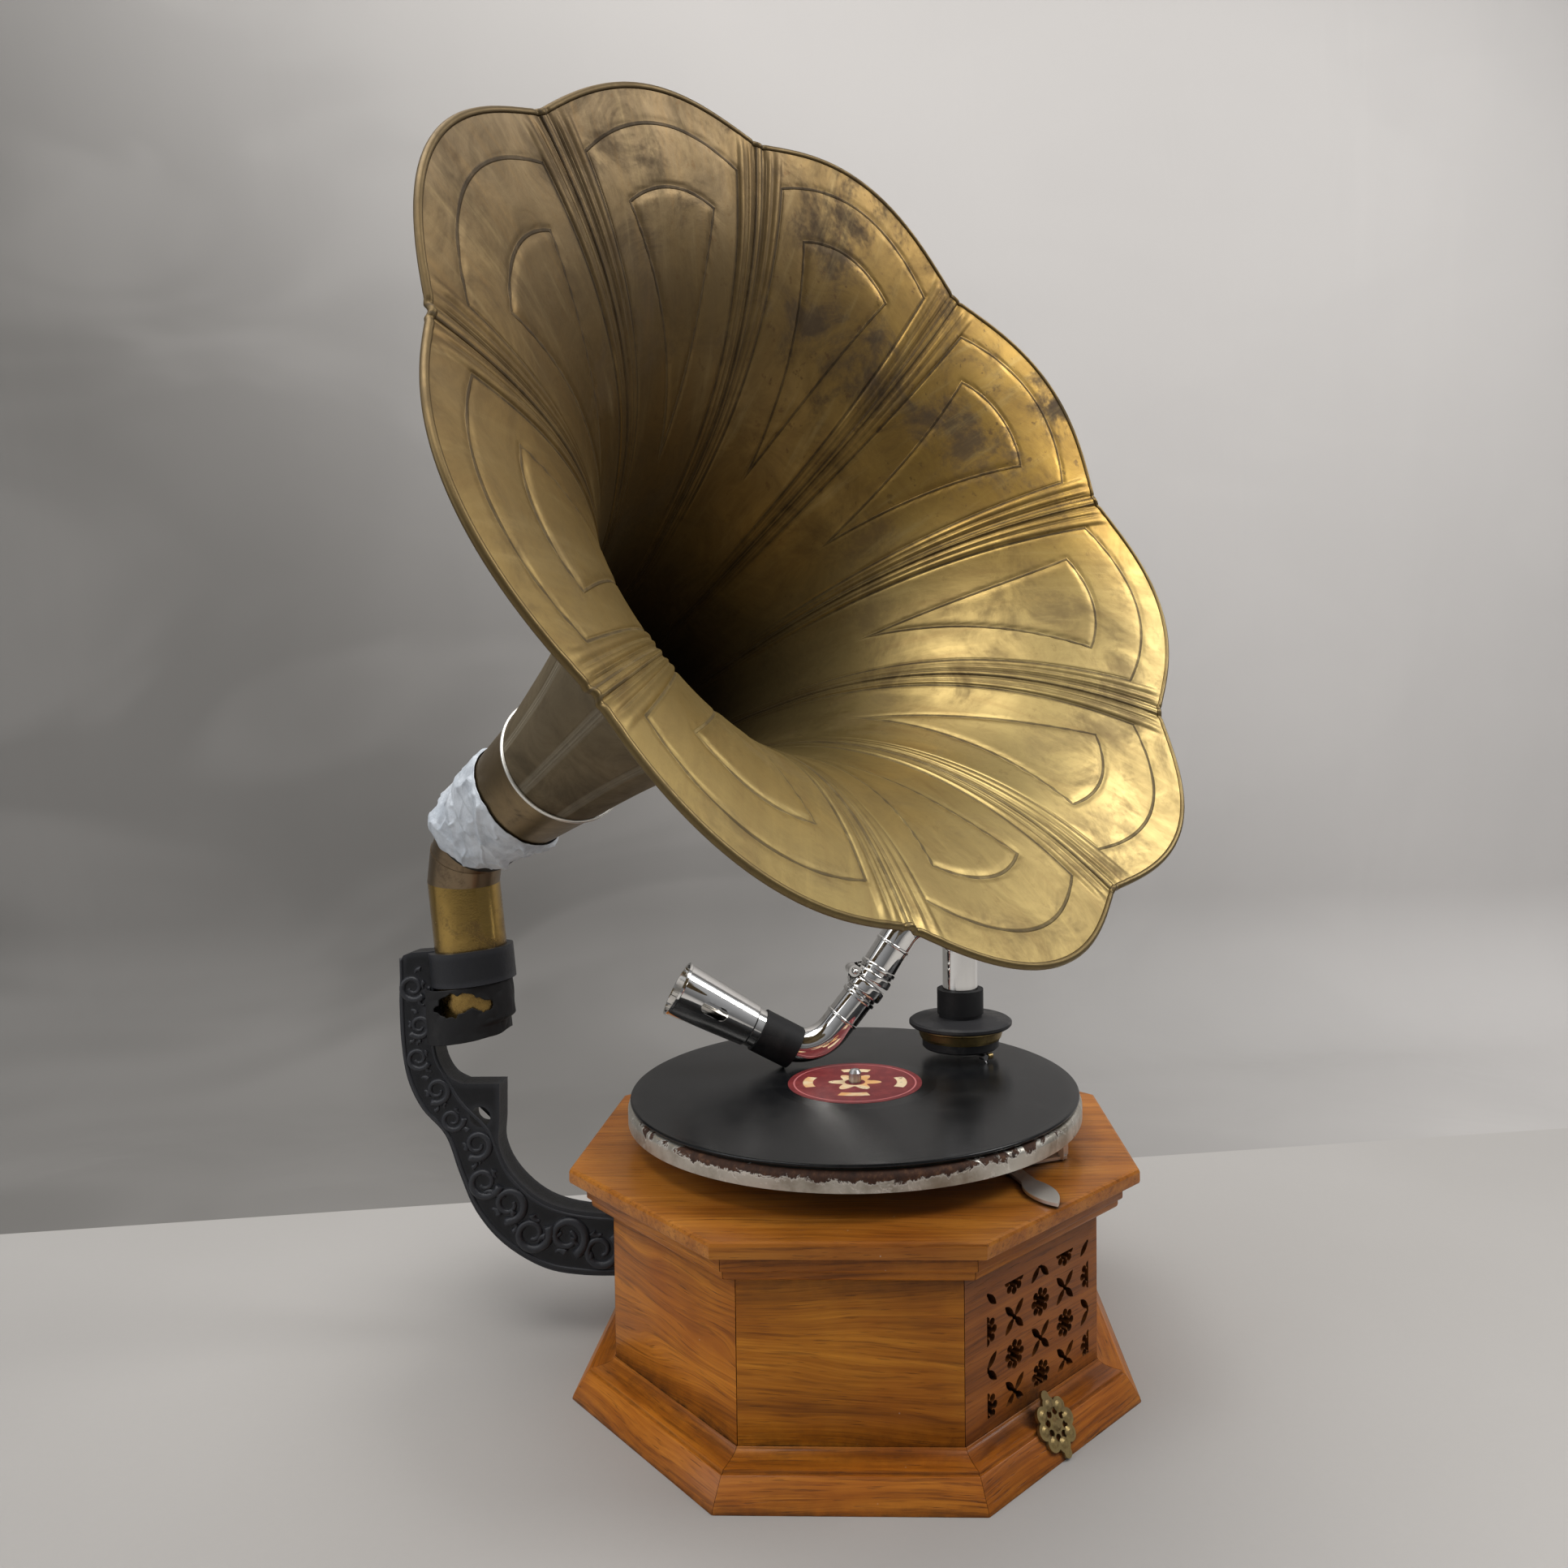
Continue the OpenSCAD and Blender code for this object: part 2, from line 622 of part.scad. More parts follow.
module bell_petal(k) {
    n = petal_steps + 1;
    m = bell_rings;
    base = (m + 1) * n;
    points = [for (inset = [0, bell_wall], i = [0:m], j = [0:n - 1]) bell_point(i, k, j, inset)];
    faces = concat(
        [for (i = [0:m - 1], j = [0:n - 2])
            each [[i * n + j, i * n + j + 1, (i + 1) * n + j + 1], [i * n + j, (i + 1) * n + j + 1,
                (i + 1) * n + j]]],
        [for (i = [0:m - 1], j = [0:n - 2])
            each [[base + i * n + j + 1, base + i * n + j, base + (i + 1) * n + j + 1],
                  [base + (i + 1) * n + j + 1, base + i * n + j, base + (i + 1) * n + j]]],
        [for (j = [0:n - 2])
            each [[j + 1, j, base + j], [j + 1, base + j, base + j + 1],
                  [m * n + j, m * n + j + 1, base + m * n + j + 1],
                  [m * n + j, base + m * n + j + 1, base + m * n + j]]],
        [for (i = [0:m - 1])
            each [[i * n, (i + 1) * n, base + (i + 1) * n], [i * n, base + (i + 1) * n, base + i * n],
                  [(i + 1) * n + n - 1, i * n + n - 1, base + i * n + n - 1],
                  [(i + 1) * n + n - 1, base + i * n + n - 1, base + (i + 1) * n + n - 1]]]);
    polyhedron(points = points, faces = faces, convexity = 8);
}

module horn_bell() {
    color("darkgoldenrod") on_horn() for (k = [0:petals - 1]) bell_petal(k);
}

// Crumpled tape from the elbow's upper length to the horn's neck; both its edges run askew
tape_rings = 18;
tape_segments = 36;
tape_gap = 0.35;
tape_low_s = 40;
tape_low_slant = 14;
tape_high_s = 76;
tape_high_slant = 11;

function tape_s(a, u) =
    let (low = tape_low_s + tape_low_slant * sin(a), high = tape_high_s - tape_high_slant * sin(a)
        + 4 * cos(a))
    low + (high - low) * u;
function neck_r(s) = neck_r0 + (bell_r0 - neck_r0) * max(0, s - neck_s0) / (bell_start - neck_s0);
// Radius of what lies under the tape, looking a little way to each side
function tape_base(s) = (s + 1.5 < neck_s0 ? sleeve_r : neck_r(s + 1.5) + 0.2) + tape_gap;
function crumple(a, u) =
    1.1 + 0.9 * abs(sin(2.5 * a + 400 * u)) + 0.9 * abs(sin(4 * a - 700 * u + 40))
    + 0.6 * sin(7 * a + 900 * u) * sin(500 * u) + 1.1 * (1 - u) * abs(sin(3.5 * a + 60));

module tape_wrap() {
    n = tape_segments;
    m = tape_rings;
    ring = [for (i = [0:m], k = [0:n - 1]) [i / m, k * 360 / n]];
    inner = [for (w = ring) let (s = tape_s(w[1], w[0]), r = tape_base(s)) [r * cos(w[1]), r * sin(w[1]),
        s]];
    outer = [for (w = ring) let (s = tape_s(w[1], w[0]),
        r = tape_base(s) + crumple(w[1], w[0]) * (w[0] > 0.95 ? 0.35 : 1)) [r * cos(w[1]), r * sin(w[1]),
            s]];
    base = (m + 1) * n;
    faces = concat(
        [for (i = [0:m - 1], k = [0:n - 1]) let (q = (k + 1) % n)
            each [[i * n + q, i * n + k, (i + 1) * n + q], [(i + 1) * n + q, i * n + k, (i + 1) * n + k]]],
        [for (i = [0:m - 1], k = [0:n - 1]) let (q = (k + 1) % n)
            each [[base + i * n + k, base + i * n + q, base + (i + 1) * n + q],
                  [base + i * n + k, base + (i + 1) * n + q, base + (i + 1) * n + k]]],
        [for (k = [0:n - 1]) let (q = (k + 1) % n)
            each [[k, q, base + q], [k, base + q, base + k],
                  [m * n + q, m * n + k, base + m * n + k], [m * n + q, base + m * n + k, base
                      + m * n + q]]]);
    color("lightsteelblue") on_horn() polyhedron(points = concat(inner, outer), faces = faces,
        convexity = 6);
}

// Turntable, mat, record and spindle

hub_d = 26;
hub_h = 10;
spindle_seat_z = platter_top_z - platter_t - hub_h;

module turntable() {
    r = platter_d / 2;
    fillet = 3;
    color("silver") rotate_extrude($fn = 180) difference() {
        union() {
            translate([0, platter_top_z - platter_t]) square([r - fillet, platter_t]);
            translate([r - platter_t, platter_rim_z]) square([platter_t, platter_rim_h - fillet]);
            intersection() {
                translate([r - fillet, platter_top_z - fillet]) difference() {
                    circle(r = fillet, $fn = 48);
                    circle(r = fillet - platter_t, $fn = 48);
                }
                translate([r - fillet, platter_top_z - fillet]) square(fillet);
            }
            translate([0, spindle_seat_z]) square([hub_d / 2, hub_h + platter_t / 2]);
        }
        translate([0, spindle_seat_z - cut]) square([spindle_d / 2 + seat_gap, hub_h + 3 * platter_t
            + cut]);
    }
}

module turntable_mat() {
    color("darkgreen") translate([0, 0, platter_top_z])
        tube(platter_d - 8, spindle_d + 2 * seat_gap, mat_t, $fn = 120);
}

module record() {
    r = record_d / 2;
    hole = spindle_d / 2 + seat_gap;
    bead = record_t / 2;
    color([0.05, 0.05, 0.06]) rotate_extrude($fn = 180) union() {
        translate([hole, record_base_z]) square([r - bead - hole, record_t]);
        translate([r - bead, record_base_z + bead]) circle(r = bead, $fn = 24);
    }
}

label_t = 0.12;

module record_label() {
    color("maroon") translate([0, 0, record_top_z]) tube(label_d, spindle_d + 2 * seat_gap, label_t);
}

// Motor places; every arbor is upright except the governor's and the winding shaft
plate_t = 2.5;
top_plate_z = lid_base_z - plate_t;
bottom_plate_z = 44;
plate_room_z = bottom_plate_z + plate_t;
idler_dist = module_spindle * (teeth_idler + teeth_pinion) / 2;
barrel_dist = module_barrel * (teeth_great + teeth_pinion) / 2;
barrel_x = -22;
barrel_y = 50;
barrel_far = norm([barrel_x, barrel_y]);
idler_angle = atan2(barrel_y, barrel_x) - acos((idler_dist * idler_dist + barrel_far * barrel_far
    - barrel_dist * barrel_dist) / (2 * idler_dist * barrel_far));
idler_x = idler_dist * cos(idler_angle);
idler_y = idler_dist * sin(idler_angle);
barrel_way = atan2(barrel_y - idler_y, barrel_x - idler_x);
pressure = 25;
idler_wheel_z = 75;
gear_t = 3.2;
great_t = 4;
great_z = 102;
drum_gap = 0.3;
barrel_z = great_z - barrel_h;
worm_wheel_z = 89;
worm_wheel_t = 2.4;
worm_pitch_r = 4.5;
governor_y = -(module_spindle * teeth_worm / 2 + worm_pitch_r);
governor_z = worm_wheel_z + worm_wheel_t / 2;
spindle_foot_z = plate_room_z + 4;
shaft_d = 9;
shaft_hole_d = shaft_d + 4;
crown_r = 18;
crown_teeth = 36;
crown_face = 2.4;
crown_module = 1;
crown_pinion_r = crown_module * teeth_pinion / 2;
crown_pitch_z = crank_z - crown_pinion_r;
crown_backlash = 0.5;
arbor_d = 8;
idler_d = 5;

// Involute gear outline; work done in degrees, so 180 / PI turns a tangent into an angle
function inv(a) = tan(a) * 180 / PI - a;
function tooth_half(m, n, r, play) =
    let (rb = m * n / 2 * cos(pressure), a = acos(min(1, rb / r)))
    90 / n - play / (m * n) * 90 / PI + inv(pressure) - inv(a);

module gear_outline(m, n, play) {
    rp = m * n / 2;
    rb = rp * cos(pressure);
    ra = rp + 0.95 * m;
    rr = rp - 1.2 * m;
    steps = 3;
    low = max(rb, rr);
    flank = [for (i = [0:steps]) let (r = low + (ra - low) * i / steps) [r, tooth_half(m, n, r, play)]];
    points = [for (k = [0:n - 1]) let (c = k * 360 / n) each concat(
        [[rr, c - flank[0][1]]], [for (f = flank) [f[0], c - f[1]]],
        [for (i = [steps:-1:0]) [flank[i][0], c + flank[i][1]]], [[rr, c + flank[0][1]]])];
    polygon([for (p = points) [p[0] * cos(p[1]), p[0] * sin(p[1])]]);
}

module gear(m, n, h, play = backlash) {
    linear_extrude(h) gear_outline(m, n, play);
}

// Turn of the idler and the barrel that puts their teeth in mesh at rest
function mesh_turn(at, n_driver, turn_driver, n_driven) =
    180 + at + 180 / n_driven - (turn_driver - at) * n_driver / n_driven;

idler_wheel_turn = mesh_turn(idler_angle, teeth_pinion, 0, teeth_idler);
barrel_turn = mesh_turn(barrel_way, teeth_pinion, 0, teeth_great);

module spindle() {
    r = spindle_d / 2;
    tip = 1.2;
    color("lightgray") {
        rotate_extrude() polygon([[0, spindle_foot_z - 2], [1.2, spindle_foot_z], [r, spindle_foot_z + 2],
            [r, spindle_seat_z - 4], [r + 2.4, spindle_seat_z - 4], [r + 2.4, spindle_seat_z],
            [r, spindle_seat_z], [r, spindle_top_z - 2 * tip], [r - tip, spindle_top_z - tip / 2],
            [0, spindle_top_z]]);
        translate([0, 0, idler_wheel_z - 2]) gear(module_spindle, teeth_pinion, gear_t + 4);
        translate([0, 0, worm_wheel_z]) gear(module_spindle, teeth_worm, worm_wheel_t);
        translate([0, 0, worm_wheel_z - 3]) cylinder(r = r + 3, h = worm_wheel_t + 6);
    }
}

// Tone arm, drawn upright in its own plane as [u, w] and then stood on the record

cone_axis = [cos(cone_slope), -sin(cone_slope)];
sleeve_drop = sleeve_d / 2 * cos(cone_slope);
sleeve_end = [8.2, record_top_z + sleeve_drop + seat_gap];
mouth_end = sleeve_end - cone_len * cone_axis;
sleeve_start = sleeve_end - sleeve_len * cone_axis;
turn_sum = cone_slope + tube_rise;
bend_start = sleeve_end - 9.4 * cone_axis;
bend_centre = bend_start + bend_r * [sin(cone_slope), cos(cone_slope)];
bend_end = bend_centre + bend_r * [sin(tube_rise), -cos(tube_rise)];
knuckle = bend_end + riser_len * [cos(tube_rise), sin(tube_rise)];
neck_start = knuckle + neck_len * [cos(neck_rise), sin(neck_rise)];
neck_centre = neck_start + neck_r * [sin(neck_rise), -cos(neck_rise)];
box_u = neck_centre.x + neck_r;
back_low_z = record_top_z + soundbox_clear;
back_high_z = back_low_z + soundbox_back_t;
box_sleeve_low = back_high_z + 3.2;
box_sleeve_high = box_sleeve_low + 15;
neck_low_z = box_sleeve_low + 4;

module stand_arm() {
    translate([arm_rest_x, arm_rest_y, 0]) rotate([0, 0, arm_turn]) children();
}

// Straight round bar from p in direction a above level, in the arm's plane
module bar(p, a, d, h) {
    translate([p.x, 0, p.y]) rotate([0, 90 - a, 0]) cylinder(d = d, h = h);
}

module arm_cone() {
    small_d = tube_d + 3.4;
    cone_part = cone_len - sleeve_len;
    color("silver") stand_arm() difference() {
        translate([mouth_end.x, 0, mouth_end.y]) rotate([0, 90 + cone_slope, 0]) rotate_extrude()
            polygon([[mouth_d / 2 - tube_wall, 0], [mouth_d / 2 + 0.5, 0], [mouth_d / 2 + 0.5, 1.4],
                [mouth_d / 2, 1.9], [small_d / 2 + tube_wall, cone_part - 6], [small_d / 2, cone_part - 5],
                [small_d / 2, cone_part - seat_gap], [small_d / 2 - tube_wall, cone_part - seat_gap],
                [small_d / 2 - tube_wall, cone_part - 5]]);
        translate([mouth_end.x, 0, mouth_end.y]) rotate([0, 90 + cone_slope, 0])
            translate([0, 0, 19]) rotate([90, 0, 0]) linear_extrude(mouth_d) {
                translate([0, 0]) circle(d = 7.6, $fn = 32);
                translate([-3.8, 0]) square([7.6, 9]);
                translate([0, 9]) circle(d = 7.6, $fn = 32);
            }
    }
}

sleeve_gap = 0.16;
bore_sweep = cone_slope + 20;

module arm_sleeve() {
    color([0.07, 0.07, 0.07]) stand_arm() difference() {
        translate([sleeve_start.x, 0, sleeve_start.y]) rotate([0, 90 + cone_slope, 0])
            tube(sleeve_d, tube_d + 2 * sleeve_gap, sleeve_len);
        // The tube starts to bend while it is still inside the rubber
        translate([bend_centre.x, 0, bend_centre.y]) rotate([90, 0, 0]) rotate([0, 0, 270 - cone_slope])
            rotate_extrude(angle = bore_sweep) translate([bend_r, 0]) circle(d = tube_d + 2 * sleeve_gap);
    }
}

tube_in_sleeve = 9;

// One straight or bent length of open tube; the lengths meet end to end
module straight_tube(p, a, d, h) {
    translate([p.x, 0, p.y]) rotate([0, 90 - a, 0]) tube(d, d - 2 * tube_wall, h, $fn = 48);
}

module bent_tube(c, r, d, a0, sweep) {
    translate([c.x, 0, c.y]) rotate([90, 0, 0]) rotate([0, 0, a0])
        rotate_extrude(angle = sweep) translate([r, 0]) difference() {
            circle(d = d, $fn = 48);
            circle(d = d - 2 * tube_wall, $fn = 48);
        }
}

pin_offset = neck_d / 2 + 2.6;
pin_u = knuckle.x - pin_offset * sin(tube_rise);
pin_w = knuckle.y + pin_offset * cos(tube_rise);
pin_d = 3;
lug_d = 7;

// Band inside the wall that joins two lengths of tube
module wall_band(p, a, d) {
    half = 0.6;
    translate([p.x, 0, p.y]) rotate([0, 90 - a, 0]) translate([0, 0, -half])
        tube(d - tube_wall / 2, d - 3 * tube_wall / 2, 2 * half, $fn = 48);
}

module arm_tube() {
    band_w = 7;
    along = [cos(tube_rise), sin(tube_rise)];
    color("silver") stand_arm() {
        straight_tube(bend_start - tube_in_sleeve * cone_axis, -cone_slope, tube_d, tube_in_sleeve);
        bent_tube(bend_centre, bend_r, tube_d, 270 - cone_slope, turn_sum);
        wall_band(bend_start, -cone_slope, tube_d);
        wall_band(bend_end, tube_rise, tube_d);
        straight_tube(bend_end, tube_rise, tube_d, riser_len - band_w);
        difference() {
            union() {
                bar(knuckle - band_w * along, tube_rise, tube_d + 2.4, band_w);
                translate([pin_u, 3, pin_w]) rotate([90, 0, 0]) cylinder(d = lug_d, h = 6, $fn = 48);
                translate([pin_u, 0, pin_w]) rotate([0, -tube_rise, 0])
                    translate([-6, -3, -lug_d / 2 - 2.2]) cube([6, 6, 4.6]);
            }
            bar(knuckle - (band_w + cut) * along, tube_rise, tube_d - 2 * tube_wall, band_w + 2 * cut);
            for (side = [-1, 1]) translate([pin_u, side * 4.65 + 1.65, pin_w]) rotate([90, 0, 0])
                cylinder(d = lug_d + 2 * move_gap, h = 3.3, $fn = 48);
            translate([pin_u, 20, pin_w]) rotate([90, 0, 0])
                cylinder(d = pin_d + 2 * run_gap, h = 40, $fn = 48);
        }
    }
}

module knuckle_pin() {
    color("silver") stand_arm() translate([pin_u, 0, pin_w]) rotate([90, 0, 0]) {
        translate([0, 0, -6.6]) cylinder(d = pin_d, h = 13.2, $fn = 48);
        for (side = [-1, 1]) translate([0, 0, side * 7.3]) sphere(d = 3.6, $fn = 32);
    }
}

module gooseneck() {
    ear_w = 2.6;
    band_w = 5;
    lip = 1.6;
    along = [cos(neck_rise), sin(neck_rise)];
    color("silver") stand_arm() {
        straight_tube(knuckle + (lip + band_w) * along, neck_rise, neck_d, neck_len - lip - band_w);
        bent_tube(neck_centre, neck_r, neck_d, 0, 90 + neck_rise);
        wall_band(neck_start, neck_rise, neck_d);
        wall_band([box_u, neck_centre.y], -90, neck_d);
        translate([box_u, 0, neck_low_z])
            tube(neck_d, neck_d - 2 * tube_wall, neck_centre.y - neck_low_z, $fn = 48);
        difference() {
            union() {
                bar(knuckle + lip * along, neck_rise, neck_d + 2, band_w);
                for (side = [-1, 1]) translate([pin_u, side * (3.3 + ear_w / 2), pin_w]) {
                    rotate([90, 0, 0]) translate([0, 0, -ear_w / 2]) cylinder(d = lug_d, h = ear_w,
                        $fn = 48);
                    rotate([0, -tube_rise, 0]) translate([0.4, -ear_w / 2, -lug_d / 2 - 1])
                        cube([5, ear_w, lug_d / 2]);
                }
            }
            bar(knuckle + (lip - cut) * along, neck_rise, neck_d - 2 * tube_wall, band_w + 2 * cut);
            translate([pin_u, 3.3, pin_w]) rotate([90, 0, 0])
                cylinder(d = lug_d + 2 * move_gap, h = 6.6, $fn = 48);
            translate([pin_u, 20, pin_w]) rotate([90, 0, 0])
                cylinder(d = pin_d + 2 * run_gap, h = 40, $fn = 48);
        }
    }
}

module at_box() {
    stand_arm() translate([box_u, 0, 0]) children();
}

module soundbox_sleeve() {
    color([0.07, 0.07, 0.07]) at_box() translate([0, 0, box_sleeve_low])
        tube(box_sleeve_d, neck_d + 2 * run_gap, box_sleeve_high - box_sleeve_low);
}

module soundbox_back() {
    r = soundbox_d / 2;
    socket_r = box_sleeve_d / 2 - 1;
    color([0.13, 0.13, 0.14]) at_box() rotate_extrude(convexity = 4) difference() {
        polygon([[0, back_low_z], [r - 1, back_low_z], [r, back_low_z + 1], [r, back_high_z - 1.4],
            [r - 1.4, back_high_z - 0.4], [socket_r + 6, back_high_z], [socket_r, back_high_z + 1.2],
            [socket_r, box_sleeve_low - seat_gap], [0, box_sleeve_low - seat_gap]]);
        translate([0, back_low_z + 1.6]) square([neck_d / 2 - 2, soundbox_back_t + 6]);
    }
}

housing_low_z = back_low_z - housing_h;
front_low_z = housing_low_z - front_ring_h;

module soundbox_housing() {
    r = housing_d / 2;
    bore = front_ring_d / 2 - 4;
    color("gold") at_box() rotate_extrude() polygon([[bore, housing_low_z + 1], [front_ring_d / 2 + 0.6,
        housing_low_z],
        [front_ring_d / 2 + 1.6, housing_low_z + 1.6], [r - 0.8, back_low_z - 2.4], [r, back_low_z - 1.6],
        [r, back_low_z - seat_gap], [bore, back_low_z - seat_gap]]);
}

module soundbox_front() {
    r = front_ring_d / 2;
    color([0.05, 0.05, 0.05]) at_box() rotate_extrude() polygon([[r - 5, front_low_z + 1], [r - 3.4,
        front_low_z],
        [r - 1, front_low_z], [r, front_low_z + 1], [r, housing_low_z - seat_gap], [r - 3.4,
            housing_low_z - seat_gap],
        [r - 3.4, front_low_z + 3.4], [r - 5, front_low_z + 2]]);
}

diaphragm_z = front_low_z + 3.5;

module diaphragm() {
    r = front_ring_d / 2 - 3.5;
    color("lightgray") at_box() rotate_extrude() polygon([[0, diaphragm_z], [r * 0.3, diaphragm_z + 0.9],
        [r * 0.45, diaphragm_z], [r * 0.8, diaphragm_z], [r, diaphragm_z + 0.5], [r, diaphragm_z + 1],
        [r * 0.8, diaphragm_z + 0.5], [r * 0.45, diaphragm_z + 0.5], [r * 0.3, diaphragm_z + 1.4],
        [0, diaphragm_z + 0.5]]);
}

// Stylus bar: from the diaphragm's centre, past the front ring, to the needle clamp
clamp_r = front_ring_d / 2 - 2.2;
bar_z = front_low_z - 2.4;
clamp_len = 5;

module at_stylus() {
    at_box() rotate([0, 0, stylus_turn]) children();
}

module stylus_bar() {
    color("silver") at_stylus() difference() {
        union() {
            translate([-0.9, -0.8, bar_z]) cube([clamp_r + 0.9, 1.6, 1.3]);
            translate([0, 0, bar_z]) cylinder(d = 1.8, h = diaphragm_z - bar_z - seat_gap, $fn = 32);
            translate([clamp_r - clamp_len / 2, 0, bar_z + 0.2]) rotate([0, 90, 0])
                cylinder(d = 3.6, h = clamp_len, $fn = 48);
        }
        aim([needle_top.x, 0, needle_top.y], [needle_dir.x, 0, needle_dir.y])
            cylinder(d = needle_d + 2 * seat_gap, h = 30, $fn = 32);
        translate([clamp_r + 0.6, 0, bar_z + 0.2]) rotate([-90, 0, 0])
            cylinder(d = screw_d + 2 * run_gap, h = 6, $fn = 32);
    }
}

needle_d = 1.3;
needle_tip = [clamp_r + 3.4, record_top_z + seat_gap];
needle_top = [clamp_r - 1.7, bar_z + 1.1];
needle_dir = (needle_tip - needle_top) / norm(needle_tip - needle_top);

module needle() {
    run = norm(needle_tip - needle_top);
    color("gray") at_stylus() aim([needle_top.x, 0, needle_top.y], [needle_dir.x, 0, needle_dir.y]) {
        cylinder(d = needle_d, h = run * 0.62, $fn = 32);
        translate([0, 0, run * 0.62]) cylinder(d1 = needle_d, d2 = 0.3, h = run * 0.36, $fn = 32);
    }
}

screw_d = 1.6;

module needle_screw() {
    color("gold") at_stylus() translate([clamp_r + 0.6, needle_d / 2 + 2 * seat_gap, bar_z + 0.2])
        rotate([-90, 0, 0]) {
            cylinder(d = screw_d, h = 3, $fn = 32);
            translate([0, 0, 1.9]) cylinder(d = 3.6, h = 3.4, $fn = 32);
        }
}

// Brake lever on the lid beside the turntable, drawn with its pivot on +X

lever_r = 99.4;
lever_place = -37.6;
finger_turn = -32.4;
finger_reach = 36;
pad_reach = 30;
lever_z = lid_top_z + 1;
pad_r = platter_d / 2 - platter_t - 0.35;

module at_lever() {
    rotate([0, 0, lever_place]) children();
}

module brake_lever() {
    color("whitesmoke") at_lever() {
        translate([0, 0, lever_z]) linear_extrude(lever_t) difference() {
            union() {
                translate([lever_r, 0]) circle(d = 12, $fn = 48);
                translate([lever_r, 0]) rotate(finger_turn) translate([0, -4]) square([finger_reach, 8]);
                translate([lever_r, 0]) rotate(finger_turn) translate([finger_reach, 0]) intersection() {
                    translate([0, lever_oval_r - lever_w / 2]) circle(r = lever_oval_r);
                    translate([0, lever_w / 2 - lever_oval_r]) circle(r = lever_oval_r);
                }
                translate([lever_r, 0]) rotate(atan2(pad_reach, pad_x - lever_r))
                    translate([0, -3]) square([norm([pad_reach, pad_x - lever_r]), 6]);
            }
            translate([lever_r, 0]) circle(d = lever_screw_d + 2 * run_gap, $fn = 48);
        }
        translate([pad_x, pad_reach, lever_z]) rotate([0, 0, atan2(pad_reach, pad_x)])
            translate([-2, -5, 0]) cube([3, 10, platter_rim_z + 5 - lever_z]);
    }
}
pad_x = sqrt(pow(pad_r - 4.5, 2) - pad_reach * pad_reach);
lever_oval_r = (lever_len * lever_len + lever_w * lever_w) / (4 * lever_w);
lever_screw_d = 4;

module lever_screw() {
    color("dimgray") at_lever() translate([lever_r, 0, lid_top_z]) {
        cylinder(d = lever_screw_d, h = lever_t + 1.4, $fn = 48);
        translate([0, 0, lever_t + 1.4]) cylinder(d1 = 8, d2 = 6, h = 1.8, $fn = 48);
    }
}

module brake_pad() {
    color("saddlebrown") at_lever() translate([pad_x, pad_reach, platter_rim_z + 0.5])
        rotate([0, 0, atan2(pad_reach, pad_x)]) translate([1 + seat_gap, -5, 0])
            cube([3.1, 10, 4.2]);
}

// Spring motor

plate_x0 = barrel_x - barrel_d / 2 - 8;
plate_x1 = 70;
plate_y0 = -46;
plate_y1 = barrel_y + barrel_d / 2 + 8;
pillar_inset = 7;
pillar_d = 8;

module motor_plate(z) {
    translate([plate_x0, plate_y0, z]) cube([plate_x1 - plate_x0, plate_y1 - plate_y0, plate_t]);
}

module arbor_hole(x, y, d, z) {
    translate([x, y, z - cut]) cylinder(d = d + 2 * run_gap, h = plate_t + 2 * cut, $fn = 48);
}

module motor_top_plate() {
    color("slategray") difference() {
        motor_plate(top_plate_z);
        arbor_hole(0, 0, spindle_d, top_plate_z);
        arbor_hole(idler_x, idler_y, idler_d - 1, top_plate_z);
        arbor_hole(barrel_x, barrel_y, arbor_d - 2, top_plate_z);
        arbor_hole(regulator_x, regulator_y, regulator_d, top_plate_z);
    }
}

module motor_bottom_plate() {
    color("slategray") difference() {
        union() {
            motor_plate(bottom_plate_z);
            translate([0, 0, plate_room_z]) cylinder(d = 12, h = spindle_foot_z - plate_room_z + 1.4);
        }
        translate([0, 0, spindle_foot_z - 2 - run_gap]) cylinder(r = 1.3, h = 6, $fn = 48);
        translate([0, 0, spindle_foot_z + 0.04]) cylinder(d = spindle_d + 2 * run_gap, h = 6, $fn = 48);
        arbor_hole(idler_x, idler_y, idler_d - 1, bottom_plate_z);
        arbor_hole(barrel_x, barrel_y, arbor_d - 2, bottom_plate_z);
    }
}

module motor_pillars() {
    color("gray") for (x = [plate_x0 + pillar_inset, plate_x1 - pillar_inset],
                       y = [plate_y0 + pillar_inset, plate_y1 - pillar_inset])
        translate([x, y, plate_room_z + seat_gap])
            cylinder(d = pillar_d, h = top_plate_z - plate_room_z - 2 * seat_gap, $fn = 48);
}

// Drum with its great gear on top; the spring's outer end hooks to the drum
module spring_barrel() {
    wall = 1.6;
    color("darkgoldenrod") translate([barrel_x, barrel_y, 0]) difference() {
        union() {
            translate([0, 0, barrel_z]) cylinder(d = barrel_d, h = barrel_h);
            translate([0, 0, great_z]) rotate([0, 0, barrel_turn]) gear(module_barrel, teeth_great,
                great_t);
        }
        translate([0, 0, barrel_z + wall]) cylinder(d = barrel_d - 2 * wall, h = barrel_h - 2 * wall);
        translate([0, 0, barrel_z - cut]) cylinder(d = arbor_d + 2 * run_gap, h = barrel_h + great_t
            + 2 * cut);
    }
}

// Wound spring strip, drawn as one flat spiral band
spring_coils = 5;
spring_t = 0.9;
spring_in = arbor_d / 2 + spring_t / 2 + 0.15;

